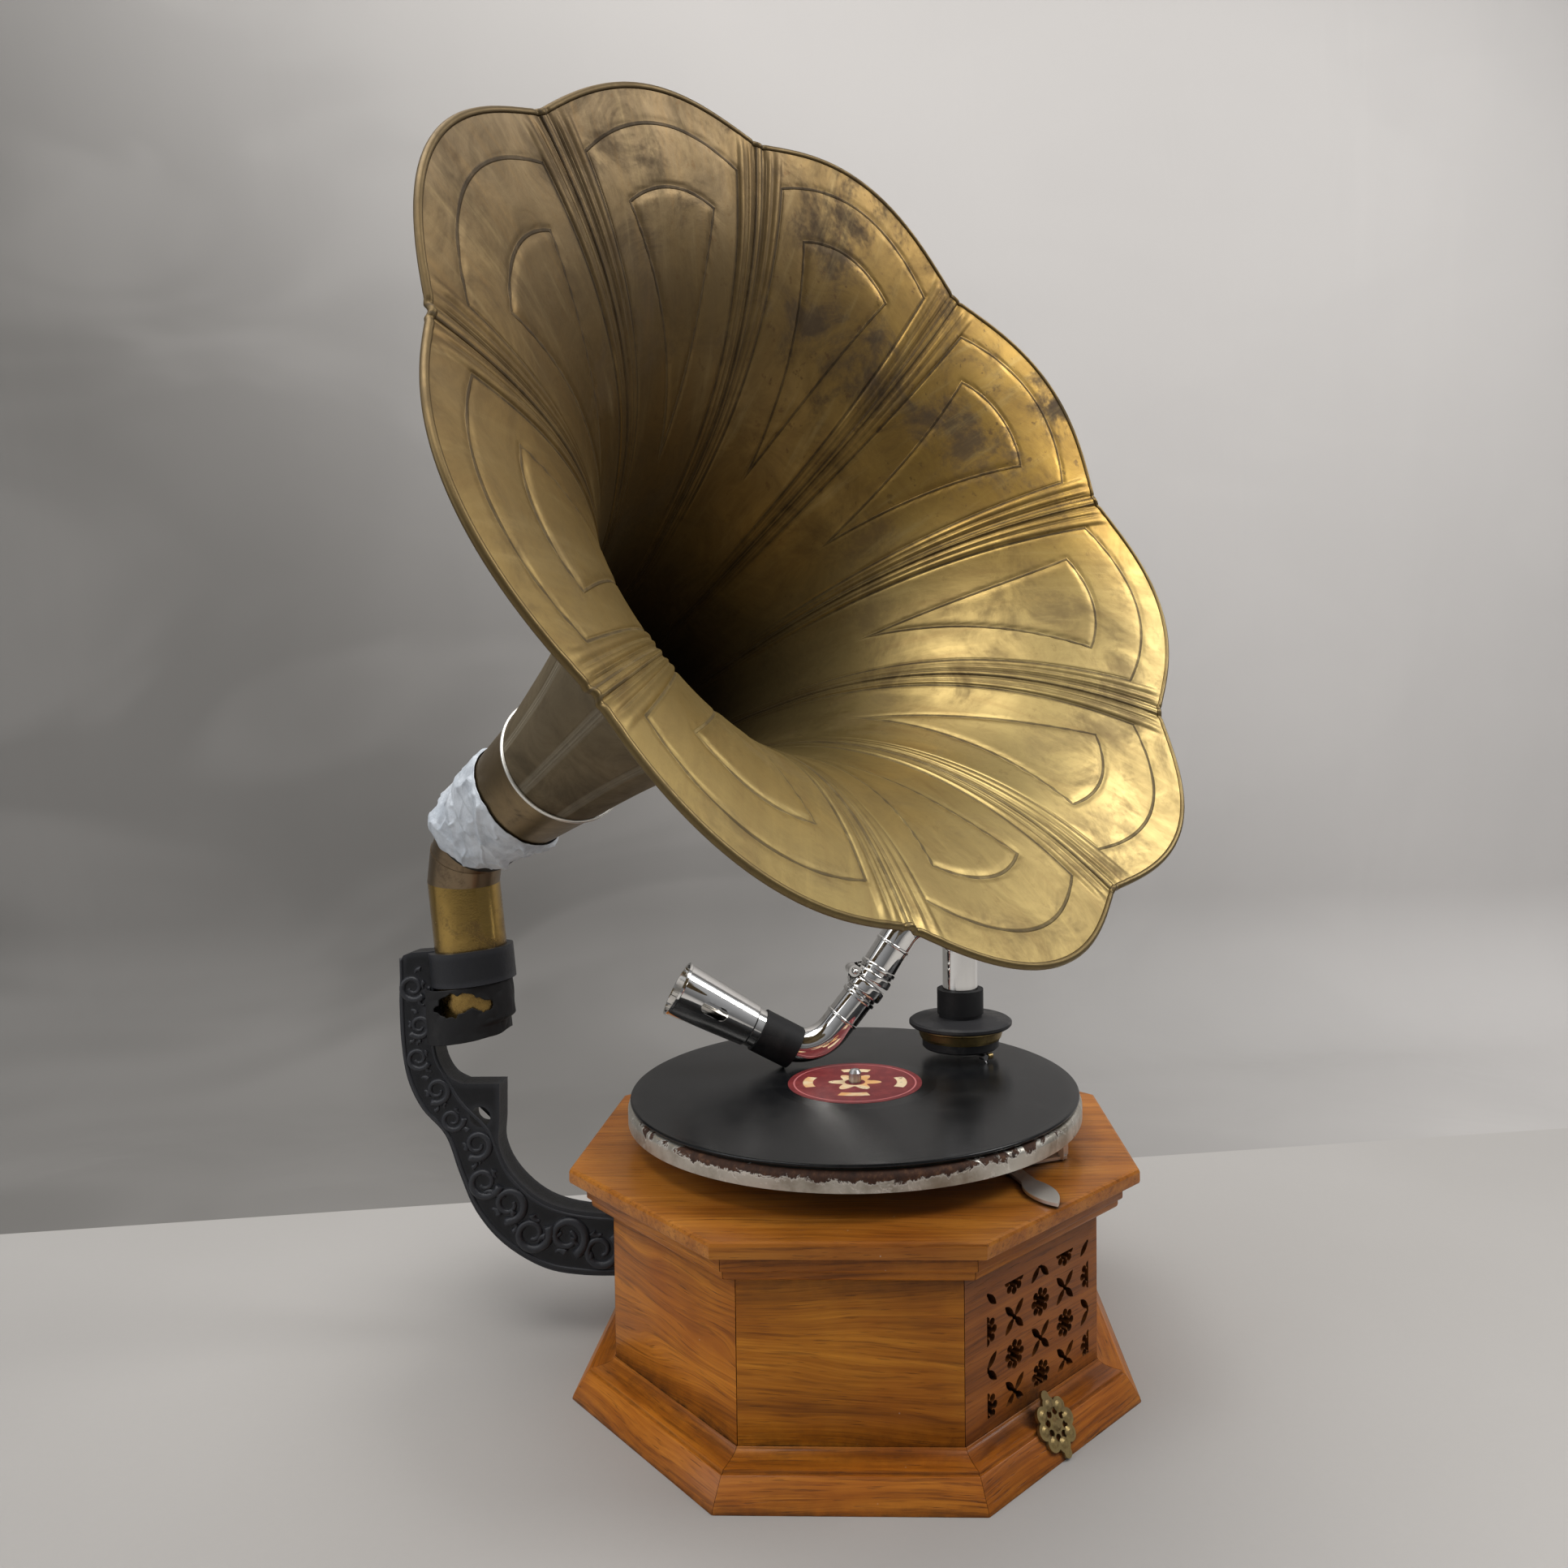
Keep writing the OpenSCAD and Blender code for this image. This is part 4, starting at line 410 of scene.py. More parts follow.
def plain_metal(name, colour, rough, scratch=0.5, direction=(30.0, 600.0, 600.0), tarnish=0.25,
                tarnish_colour=(0.2, 0.16, 0.11)):
    g, p = paint(name)
    lines = g.noise(p, direction, 3.0, 0.6)
    cloud = g.noise(p, 60.0, 4.0, 0.6)
    film = g.step(cloud, 0.45, 0.75) * tarnish
    tint = g.mix(film, colour, tarnish_colour)
    # Darker in corners and joints, where the ambient occlusion is low
    hollow_dark = g.step(g.hollow(0.003), 0.3, 0.95, 0.75, 0.0)
    tint = g.mix(hollow_dark, tint, (0.03, 0.025, 0.02))
    return g.done(Base_Color=tint, Metallic=1.0, Roughness=rough + lines * (0.12 * scratch) + film * 0.3,
                  Normal=g.bump(lines, 5e-05, 0.3 * scratch))


def chrome(name):
    """Bright nickel with a few worn places and greasy prints."""
    g, p = paint(name)
    smear = g.noise(p, 45.0, 5.0, 0.6, 0.6)
    pit = g.fall(g.cells(p, 260.0), 0.0, 0.12)
    pit = pit * g.step(g.noise(p, 38.0, 2.0), 0.56, 0.66)
    worn = g.step(g.noise(p, 24.0, 6.0, 0.7), 0.62, 0.7, 0.0, 0.5)
    colour = g.mix(g.most(pit, worn), (0.86, 0.85, 0.83), (0.42, 0.3, 0.2))
    # Darker in corners and joints, where the ambient occlusion is low
    hollow_dark = g.step(g.hollow(0.0035), 0.3, 0.95, 0.8, 0.0)
    colour = g.mix(hollow_dark, colour, (0.05, 0.04, 0.035))
    rough = 0.04 + g.step(smear, 0.4, 0.7) * 0.1 + worn * 0.3 + pit * 0.3
    return g.done(Base_Color=colour, Metallic=1.0, Roughness=rough, Normal=g.bump(smear, 0.00012, 0.25))


def rubber(name, colour=(0.009, 0.009, 0.01), rough=0.55, dust=0.1):
    g, p = paint(name)
    grain = g.noise(p, 900.0, 3.0, 0.6)
    cloud = g.noise(p, 50.0, 5.0, 0.65)
    dusty = g.step(cloud, 0.5, 0.8) * dust
    tint = g.mix(dusty, colour, (0.16, 0.15, 0.14))
    return g.done(Base_Color=tint, Roughness=rough + cloud * 0.15,
                  Normal=g.bump(grain + cloud * 2.0, 0.0002, 0.3), Specular_IOR_Level=0.28)


def cast_iron(name):
    """Black paint over rough casting, greyed by dust where it lies."""
    g, p = paint(name)
    sand = g.noise(p, 520.0, 5.0, 0.7)
    lump = g.noise(p, 90.0, 4.0, 0.6)
    rubbed = g.fall(g.hollow(0.004, True), 0.55, 0.95)
    colour = g.mix(rubbed * 0.5, (0.006, 0.0065, 0.008), (0.045, 0.047, 0.055))
    dusty = g.step(lump, 0.5, 0.75) * g.step(g.hollow(0.006), 0.4, 0.95, 0.5, 0.08)
    colour = g.mix(dusty, colour, (0.04, 0.04, 0.042))
    return g.done(Base_Color=colour, Roughness=0.3 + sand * 0.18 + dusty * 0.3,
                  Normal=g.bump(sand + lump * 1.5, 0.0004, 0.4), Specular_IOR_Level=0.3)


# Places, in millimetres, as the solids have them

LEAN = radians(5)
PIPE = v3(-sin(LEAN), 0, cos(LEAN))
RING = v3(-217.5, 0, 216.0)
BEND = RING + 68 * PIPE
AZ, EL = radians(-42.7), radians(23.2)
HORN = v3(cos(EL) * cos(AZ), cos(EL) * sin(AZ), sin(EL))
E1, E2, E3 = basis(HORN)
BELL_S0, BELL_S1, BELL_R0, NOTCH_R, BULGE, FLARE = 122.0, 356.0, 32.2, 162.8, 11.0, 3.4
BELL_CONE, BELL_BOW, PETAL_CURL, BELL_WALL, RIM_R = 34.0, 4.5, 5.0, 1.3, 1.25
PETALS, PETAL_TURN, PETAL_SHAPE = 9, radians(180.2), 1.19
PETAL_BULGES = np.array([1, 1, 1, 1.05, 1, 0.9, 0.86, 0.9, 0.32])
NECK_S0, NECK_R0, SLEEVE_R = 58.0, 26.8, 25.2


# Horn bell with its embossed lines

def bell_radius(t):
    return BELL_R0 + BELL_CONE * t + (NOTCH_R - BELL_R0 - BELL_CONE) * (0.32 * t ** 2 + 0.68 * t ** FLARE)


def bell_place(t):
    return BELL_S0 + (BELL_S1 - BELL_S0) * (np.sin(pi / 2 * t ** 0.97) + t) / 2


RIB_IN, RIB_OUT, FRAME_U, WEDGE_U = 0.13, 0.065, 0.77, 0.5
FRAME_TOP, WEDGE_TOP, WEDGE_TIP = 12.0, 32.0, 128.0


def bell_lines(x, y, hw):
    """Height of the embossing at x across a petal from its middle, y from the rim, hw half its width."""
    u = np.abs(x) / hw
    d = hw - np.abs(x)

    def hump(f, w):
        return np.clip(1 - (f / w) ** 2, 0, 1) ** 2

    size = np.clip(hw / 50, 0.25, 1.0)
    fade = smooth01((y + 1) / 9)
    h = 0.8 * size * fade * (hump(u - 0.82, 0.05) + 0.9 * hump(u - 0.9, 0.032))
    h = h + 0.7 * size * hump(d, 2.1 * size) - 0.55 * size * hump(d - 2.6 * size, 1.1)
    frame_1 = np.maximum((u - FRAME_U) * hw, FRAME_TOP + 4 * (u / FRAME_U) ** 2 - y)
    top = WEDGE_TOP + 3 * (u / WEDGE_U) ** 2
    side = WEDGE_U * np.clip((WEDGE_TIP - y) / (WEDGE_TIP - WEDGE_TOP), -0.4, 1.2)
    frame_2 = np.maximum((u - side) * hw, top - y)
    near_rim = smooth01((135 - y) / 12)
    h = h - 0.55 * hump(frame_1, 1.2) * smooth01((190 - y) / 60) - 0.6 * hump(frame_2, 1.2) * near_rim
    return h + 0.5 * smooth01(-frame_2 / 3) * near_rim * size


def petal_steps():
    """Places across a petal, from -1 to 1, closer together where the lines run."""
    u = np.linspace(-1, 1, 4001)
    w = np.abs(u)
    dense = 1 + 1.8 * (w > 0.74) + 1.8 * np.exp(-((w - FRAME_U) / 0.03) ** 2) + 2.0 * (w > 0.955)
    total = np.cumsum(dense)
    return np.interp(np.linspace(total[0], total[-1], 97)[:-1], total, u)


def bell_piece():
    across = petal_steps()
    n, m = PETALS * len(across), 230
    t = np.linspace(0, 1, m + 1)
    u = np.tile(across, PETALS)
    petal = np.repeat(np.arange(PETALS), len(across))
    radius, place = bell_radius(t), bell_place(t)
    lobe = np.abs(np.cos(pi / 2 * u)) ** PETAL_SHAPE
    swell = BULGE / NOTCH_R * (0.1 + 0.9 * t ** 2)
    r = radius[:, None] * (1 + swell[:, None] * (lobe * PETAL_BULGES[petal])[None])
    s = place[:, None] + PETAL_CURL * lobe[None] * t[:, None] ** 2
    a = PETAL_TURN - (petal + (u + 1) / 2) * 2 * pi / PETALS
    lean = np.arctan2(np.gradient(radius), np.gradient(place))[:, None]
    arc = run_of(np.stack([radius, place], 1))
    from_rim = (arc[-1] - arc)[:, None] + 0 * r
    hw = pi / PETALS * r
    x = u[None] * hw
    ring = around(a, E1, E2)
    bow = -BELL_BOW * np.sin(pi * t)[:, None, None] * E1

    def skin(inset, bend):
        rr = r - (inset - bend) * np.cos(lean)
        ss = s + (inset - bend) * np.sin(lean)
        return BEND + rr[..., None] * ring[None] + ss[..., None] * E3 + bow

    base, dent = skin(0, 0), Field(5)
    wobble = (0.35 * dent(base, 28) + 0.25 * dent(base + 400, 12)) * smooth01(from_rim / 30)
    push = (wobble * 0.4 - bell_lines(x, from_rim, hw) * 0.85) * smooth01(t / 0.05)[:, None]
    outer, inner = skin(0, push), skin(BELL_WALL, push)
    mid = (outer[-1] + inner[-1]) / 2
    out_dir, along = unit(outer[-1] - inner[-1]), unit(outer[-1] - outer[-3])
    roll = [mid + RIM_R * (cos(w) * along - sin(w) * out_dir) - 0.7 * along
            for w in np.radians(np.linspace(-150, 150, 11))]

    def rows(skins, edge):
        """Rows for the outer skin, the rolled rim and the inner skin."""
        return np.array([*skins, *[edge] * len(roll), *skins[::-1]])

    obj = grid("bell_skin", [*outer, *roll, *inner[::-1]], True, True)
    edge = np.stack([x[-1], np.full(n, -3.0), hw[-1]], -1)
    attribute(obj, "petal", rows(np.stack([x, from_rim, hw], -1), edge).reshape(-1, 3) * MM)
    front = np.concatenate([np.zeros(m + 1), np.full(len(roll), 0.5), np.ones(m + 1)])
    attribute(obj, "front", np.repeat(front, n))
    attribute(obj, "depth", rows(t[:, None] + 0 * r, np.ones(n)).ravel())
    return obj


def bell_material():
    g, p = paint("horn brass")
    x, y, hw = g.split(g.attr("petal"))
    front = g.attr("front", "Fac")
    depth = g.attr("depth", "Fac")
    size = g.least(hw / 0.05, 1.0)
    width = abs(x)
    u = width / hw
    d = hw - width

    def line(f, w):
        return g.fall(abs(f), w * 0.35, w)

    def across(place):
        return (u - place) * hw

    square = u * u
    f1 = g.most(across(FRAME_U), FRAME_TOP * MM + square * (4 * MM / FRAME_U ** 2) - y)
    drop = (WEDGE_TIP - WEDGE_TOP) * MM
    reach = g.most(g.least((WEDGE_TIP * MM - y) * (WEDGE_U / drop), 1.2 * WEDGE_U), -0.4 * WEDGE_U)
    f2 = g.most((u - reach) * hw, WEDGE_TOP * MM + square * (3 * MM / WEDGE_U ** 2) - y)
    inward = g.step(y, 0.003, 0.01)
    ribs = g.most(line(across(1 - RIB_IN), 0.0006), line(across(1 - RIB_OUT), 0.0006),
                  line(across(0.955), 0.0005)) * inward
    frames = g.most(line(f1, 0.0007) * g.fall(y, 0.13, 0.19), line(f2, 0.0007) * g.fall(y, 0.123, 0.135))
    seam = line(d - size * 0.0014, 0.0006)
    lines = g.most(ribs * 0.32, frames * 0.85, seam * 0.8)

    cloud = g.noise(p, 9.0, 5.0, 0.6, 0.5)
    patch = g.noise(p, 34.0, 7.0, 0.7, 1.0)
    grit = g.noise(p, 480.0, 4.0, 0.6)
    rub = g.noise(g.vector(x * 2.2, y * 0.25, 0.0), 60.0, 5.0, 0.65)
    px, _, pz = g.split(p)
    # Painted light and shade: towards the lower right the bell takes lit brass colours, towards the upper
    # left darker shaded ones
    right = g.step(px + pz * -0.55 + cloud * 0.16, -0.34, -0.06)
    film = g.step(cloud * 0.5 + patch * 0.5, 0.36, 0.66)
    lit_brass = g.mix(film, (0.44, 0.27, 0.06), (0.22, 0.13, 0.034))
    shaded_brass = g.mix(film, (0.14, 0.102, 0.06), (0.075, 0.055, 0.034))
    colour = g.mix(right, shaded_brass, lit_brass)
    # Painted light: the lower right of the bell, which faces the lamp, is painted paler and brighter
    pale = g.fall(pz, 0.38, 0.46) * g.step(px, -0.12, 0.0)
    colour = g.mix(pale * 0.75, colour, g.mix(film, (0.37, 0.3, 0.135), (0.24, 0.185, 0.08)))
    upper = g.step(pz, 0.4, 0.5) * g.step(px, -0.1, 0.0)
    blotch = g.noise(p, 24.0, 4.0, 0.6, 0.3)
    spots = g.step(blotch * 0.6 + patch * 0.3 + grit * 0.1, 0.505, 0.63)
    spots = spots * (0.3 + upper * 0.68)
    colour = g.mix(spots, colour, (0.085, 0.055, 0.028))
    fine = g.step(g.noise(p, 210.0, 3.0, 0.6), 0.62, 0.7) * (0.2 + upper * 0.6)
    colour = g.mix(fine, colour, (0.12, 0.07, 0.03))
    # Rubbed streaks, painted in a shaded colour on the upper left and a lit one on the lower right
    colour = g.mix(g.step(rub, 0.5, 0.75) * 0.4, colour, g.mix(right, (0.26, 0.19, 0.1), (0.48, 0.36, 0.14)))
    colour = g.mix(g.fall(rub, 0.3, 0.5) * 0.35, colour, (0.2, 0.12, 0.045))
    # Painted shade: deep in the horn's throat the inner skin is painted nearly black
    throat_shade = g.fall(depth + cloud * 0.14, 0.2, 0.7)
    throat_shade = g.math("POWER", throat_shade, 1.3)
    colour = g.mix(throat_shade * front * 0.97, colour, (0.009, 0.006, 0.004))
    near = g.step(u, 0.75, 0.82) * g.step(patch, 0.35, 0.6, 0.25, 0.8)
    colour = g.mix(near * 0.25, colour, (0.12, 0.075, 0.03))
    # Painted shade: the embossed lines are painted dark, as shade in their creases, more in some places than
    # others
    worn = g.step(patch, 0.3, 0.6, 0.5, 1.0)
    colour = g.mix(lines * worn * 0.86, colour, (0.035, 0.022, 0.01))
    outside = g.fall(front, 0.2, 0.4)
    colour = g.mix(outside * 0.75, colour, g.mix(film, (0.2, 0.165, 0.11), (0.11, 0.09, 0.06)))
    colour = g.mix(outside * g.fall(d, 0.002, 0.0032) * 0.5, colour, (0.3, 0.26, 0.19))
    rim = g.step(front, 0.1, 0.4) * g.fall(front, 0.6, 0.9)
    colour = g.mix(rim * 0.7, colour, (0.12, 0.085, 0.04))
    rough = 0.33 + film * 0.15 + spots * 0.25 + grit * 0.1 + throat_shade * 0.2 + (1.0 - right) * 0.08 + lines * 0.2
    sign = g.lerp(g.step(front, 0.4, 0.6), -1.0, 1.0)
    normal = g.bump(lines * -1.0 * sign, 0.0005, 0.7)
    normal = g.bump(patch * 0.6 + grit * 0.14 + cloud * 3.0, 0.0006, 0.3, Normal=normal)
    metal = g.most(spots * 0.7, throat_shade * front * 0.5, lines * 0.8)
    return g.done(Base_Color=colour, Metallic=g.lerp(metal, 0.95, 0.4), Roughness=rough, Normal=normal)


finish_piece(bell_piece(), "horn", "horn_brass", bell_material(), "horn_bell")


# Tape wound over the rubber sleeve and the horn's neck: one crumpled strip with a loose, ragged end

TAPE_WIDTH, TAPE_T, TAPE_TWIST = 50.0, 0.28, 0.35


def tape_piece():
    a = full_turn(420)
    fold, fine, pull = Field(21, 60), Field(22, 60), Field(23, 30)
    round_ = 30 * around(a, X, Y)
    low = 40 + 14 * np.sin(a) + 1.2 * pull(round_, 7) + 0.5 * pull(round_ + 50, 2.5)
    high = 76 - 11 * np.sin(a) + 4 * np.cos(a) + 0.6 * pull(round_ + 90, 6) + 0.3 * pull(round_ + 150, 2.5)
    w = np.linspace(0, 1, 71)[:, None]
    s = low + (high - low) * w
    aa = a[None] + 0 * s
    neck = NECK_R0 + (BELL_R0 - NECK_R0) * np.clip(s + 1.5 - NECK_S0, 0, None) / (BELL_S0 - NECK_S0)
    base = SLEEVE_R + 0.4 + smooth01((s + 3 - NECK_S0) / 4) * (neck + 0.55 - SLEEVE_R - 0.4)
    q = 30 * around(aa + TAPE_TWIST * w, X, Y) + (s * 0.9 + 14 * aa)[..., None] * Z
    crease = 1 - np.clip(np.abs(fold(q, 9)) / 0.8, 0, 1)
    small = 1 - np.clip(np.abs(fine(q, 4.2)) / 0.8, 0, 1)
    swell = 0.9 + 1.6 * crease ** 1.3 + 0.8 * small ** 1.5 + 0.7 * pull(q, 14)
    lap = smooth01((np.sin(aa - 0.1 * (s - 50) + 0.3) - 0.2) / 0.05) * 0.5
    edge = smooth01(w / 0.05) * smooth01((1 - w) / 0.04)
    hug = smooth01((1 - w) / 0.07)
    r = base + 0.3 + np.clip(swell, 0.2, 4) * (0.1 + 0.9 * edge * hug) + lap * hug
    tip = np.exp(-((np.degrees(aa) - 262) / 13) ** 2) * smooth01((0.32 - w) / 0.3)
    r = r + 2.6 * tip * (1 + 0.4 * fine(q, 3))
    outer, inner = [BEND + far[..., None] * around(aa, E1, E2) + s[..., None] * E3 for far in (r, r - TAPE_T)]
    obj = grid("tape_strip", [*outer, *inner[::-1]], True, True)
    d1 = np.roll(outer, -1, 1)[:-1] - outer[:-1]
    area = float(np.linalg.norm(np.cross(d1, outer[1:] - outer[:-1]), axis=-1).sum())
    g, p = paint("tape")
    weave = g.noise(p, 700.0, 3.0, 0.6)
    stain = g.noise(p, 60.0, 5.0, 0.65)
    tint = g.mix(g.step(stain, 0.4, 0.7), (0.62, 0.66, 0.71), (0.42, 0.46, 0.51))
    # Painted shade: the tape darkens in its creases and where it meets the horn, where the ambient occlusion
    # is low
    tint = g.mix(g.step(g.hollow(0.0025), 0.25, 0.85, 0.5, 0.0), tint, (0.16, 0.17, 0.18))
    material = g.done(Base_Color=tint, Metallic=0.1, Roughness=0.36 + stain * 0.15,
                      Normal=g.bump(weave + g.noise(p, 260.0, 4.0, 0.7, 0.8) * 2.0, 0.0004, 0.45))
    finish_piece(obj, "horn", "cloth_tape", material, "tape_wrap")


tape_piece()


# Wooden case: every board is cut again with eased edges and its own grain

SIDE = pi / 4
TAN = tan(SIDE / 2)
MITRE_GAP, BOARD_GAP = 0.03, 0.12


def grain_from(obj, seed, along, across):
    """Stores board coordinates for the wood material, shifted for each board."""
    co = np.array([v.co for v in obj.data.vertices], float).reshape(-1, 3)
    through = np.cross(along, across)
    shift = np.random.default_rng(seed).uniform(-3, 3, 3)
    attribute(obj, "grain", np.stack([co @ along, co @ across, co @ through], -1) + shift)


def turned(k):
    """Outward and sideways directions of the case's wall k."""
    c, s = cos(k * SIDE), sin(k * SIDE)
    return v3(c, s, 0), v3(-s, c, 0)


def moulding(name, section, seed):
    """Eight mitred lengths of one section of (half flats, height) points, each with its own grain."""
    parts = []
    for k in range(8):
        out_dir, side_dir = turned(k)
        part = block(f"{name}_{k}", *[[h * out_dir + sign * (h * TAN - MITRE_GAP) * side_dir + z * Z
                                       for h, z in section] for sign in (-1, 1)])
        bevel(part, 0.5)
        grain_from(part, seed + k, side_dir, Z)
        parts.append(part)
    return join(name, parts)


panel_wood = wood("panel wood", (0.17, 0.05, 0.003), (0.46, 0.155, 0.009), (0.74, 0.3, 0.026))
side_wood = wood("side wood", (0.13, 0.036, 0.003), (0.4, 0.122, 0.008), (0.66, 0.235, 0.018), rings=2.2)
fret_wood = wood("fretwork wood", (0.1, 0.027, 0.005), (0.26, 0.078, 0.011), (0.4, 0.13, 0.02), rings=0.6)
trim_wood = wood("trim wood", (0.12, 0.032, 0.003), (0.37, 0.112, 0.008), (0.58, 0.205, 0.018), rings=0.8)
lid_wood = wood("lid wood", (0.15, 0.045, 0.005), (0.37, 0.122, 0.013), (0.52, 0.2, 0.027), rings=0.9)
bare_wood = wood("bare wood", (0.2, 0.12, 0.06), (0.34, 0.22, 0.12), (0.46, 0.31, 0.18), stain=0.1, gloss=0.6)

HALF, THICK, BASE_T, LID_Z, LID_T = 126.0, 9.0, 6.0, 113.0, 8.0
BOARDS = {0: "right_panel", 1: "back_right_panel", 3: "back_left_panel", 4: "left_panel",
          5: "front_left_panel", 6: "front_panel"}
inside = HALF - THICK
outline = [(inside, -inside * TAN), (HALF, BOARD_GAP - HALF * TAN), (HALF, HALF * TAN - BOARD_GAP),
           (inside, inside * TAN)]
for k, node in BOARDS.items():
    out_dir, side_dir = turned(k)
    board = block(node.replace("_panel", "_board"), *[[o * out_dir + s * side_dir + z * Z for o, s in outline]
                                                      for z in (BASE_T, LID_Z)])
    bevel(board, 0.45)
    grain_from(board, 40 + k, side_dir, Z)
    finish_piece(board, "case", "case_wood", panel_wood if k == 6 else side_wood, node)


def cad_wood(node, material, along, across, seed):
    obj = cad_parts[node]
    dress(obj, material)
    grain_from(obj, seed, along, across)


cad_wood("fretwork_panel", fret_wood, turned(7)[1], Z, 61)
cad_wood("back_panel", side_wood, X, Z, 62)
cad_wood("base_board", bare_wood, X, Y, 63)

STEP, PLINTH, SLOPE_H, PLINTH_H = 138.0, 147.0, 14.5, 18.0
QUARTER = np.radians(range(0, 91, 15))
cove = [(HALF + 0.6 + (STEP - HALF - 0.6) * (1 - sin(a)), SLOPE_H + (PLINTH_H - SLOPE_H) * (1 - cos(a)))
        for a in QUARTER]
plinth = moulding("plinth_moulding", [(HALF, 0), (PLINTH, 0), (PLINTH - 0.6, 2), (STEP + 1.4, SLOPE_H - 1.4),
                  (STEP, SLOPE_H - 1.4), *cove, (HALF, PLINTH_H)], 70)
finish_piece(plinth, "case", "trim_wood", trim_wood, "plinth")

MOULD = 138.5
z0 = LID_Z - 14
bead = [(MOULD - 4.4 + 2.2 * sin(a), z0 + 2.2 - 2.2 * cos(a)) for a in QUARTER]
ogee = moulding("lid_moulding", [(HALF, z0), *bead, (MOULD - 2.2, z0 + 4.4), (MOULD, z0 + 5.3),
                                 (MOULD, LID_Z - 0.02), (HALF, LID_Z - 0.02)], 90)
finish_piece(ogee, "case", "trim_wood", trim_wood, "top_moulding")


def lid_piece():
    """Lid board with an eased edge, a hole for the spindle and its grain running left to right."""
    half, hole, steps = 146.5, 7.55, 8
    top = LID_Z + LID_T
    a = (np.arange(8 * steps) / steps - 0.5) * SIDE
    corner = 1 / np.cos(a - np.arange(8 * steps) // steps * SIDE)
    rows = [r * (corner if r > hole else 1 + 0 * a)[:, None] * around(a, X, Y) + z * Z
            for r, z in ((hole, LID_Z), (half - 1.6, LID_Z), (half - 0.4, LID_Z + 0.5), (half, LID_Z + 1.6),
                         (half, top - 1.8), (half - 0.5, top - 0.5), (half - 1.8, top), (hole, top))]
    obj = tidy_normals(grid("lid_top", rows, True, True))
    obj.data.set_sharp_from_angle(angle=radians(20))
    grain_from(obj, 101, v3(1, 0.03, 0), v3(-0.03, 1, 0))
    return obj


finish_piece(lid_piece(), "case", "trim_wood", lid_wood, "lid_board")


# Materials of the pieces that keep their solid shape

def give(material, *nodes):
    for node in nodes:
        dress(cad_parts[node], material)


def platter_material():
    """Nickel plating over rusty steel, flaked at the rim."""
    g, p = paint("platter plating")
    _, y, z = g.split(p)
    chip = g.noise(p, 75.0, 6.0, 0.72, 0.6)
    big = g.noise(p, 14.0, 2.0, 0.5)
    front = g.fall(y, -0.13, -0.02)
    high = g.step(z, 0.137, 0.1435)
    level = chip * 0.75 + front * high * 0.2 + front * 0.06 + big * 0.25
    flaked = g.step(level, 0.62, 0.66)
    edge = g.most(g.step(level, 0.59, 0.63) - flaked, 0.0)
    grain = g.noise(p, 700.0, 3.0, 0.6)
    rust = g.ramp(g.noise(p, 210.0, 5.0, 0.7), [(0.3, (0.025, 0.013, 0.009)), (0.55, (0.07, 0.03, 0.016)),
                                                (0.75, (0.19, 0.09, 0.045))])
    plate = g.mix(g.step(g.noise(p, 40.0, 5.0, 0.65), 0.4, 0.7), (0.56, 0.53, 0.47), (0.3, 0.265, 0.21))
    colour = g.mix(flaked, plate, rust)
    colour = g.mix(edge * 0.5, colour, (0.9, 0.88, 0.82))
    return g.done(Base_Color=colour, Metallic=g.lerp(flaked, 0.75, 0.1), Roughness=g.lerp(flaked, 0.32, 0.75)
                  + grain * 0.12, Normal=g.bump(flaked * -1.0 + grain * 0.15, 0.00025, 0.8))


def record_material():
    """Black shellac; fine grooves turn highlights into rays, with smooth bands between tracks."""
    g, p = paint("record shellac")
    x, y, _ = g.split(p)
    radius = g.math("SQRT", x * x + y * y)
    ring = g.noise(g.vector(radius, 0.0, 0.0), 420.0, 4.0, 0.6)
    fine = g.noise(g.vector(radius, 0.0, 0.0), 5200.0, 2.0, 0.6)
    grooved = g.step(radius, 0.0455, 0.0465) * g.fall(radius, 0.1205, 0.1212)
    gaps = g.math("FRACT", radius * 260.0)
    gap = g.step(abs(gaps - 0.5), 0.47, 0.49) * g.step(g.noise(g.vector(radius, 4.0, 0.0), 90.0, 1.0), 0.5,
                                                       0.52)
    dust = g.noise(p, 55.0, 6.0, 0.7)
    specks = g.fall(g.cells(p, 210.0), 0.0, 0.06) * g.step(g.noise(p, 30.0, 1.0), 0.56, 0.6)
    grey = g.step(dust, 0.45, 0.8) * 0.03 + specks * 0.22
    colour = g.mix(grey, (0.006, 0.0065, 0.0075), (0.5, 0.48, 0.45))
    rough = 0.14 + dust * 0.1 + ring * 0.06
    height = (fine * 1.0 + ring * 1.6) * (0.1 + grooved)
    tangent = g.node("Tangent", props={"direction_type": "RADIAL", "axis": "Z"})
    return g.done(Base_Color=colour, Roughness=g.lerp(gap, rough, 0.14), Specular_IOR_Level=0.26,
                  Anisotropic=grooved * 0.8, Anisotropic_Rotation=0.0, Tangent=tangent,
                  Normal=g.bump(height, 6e-05, 0.35))


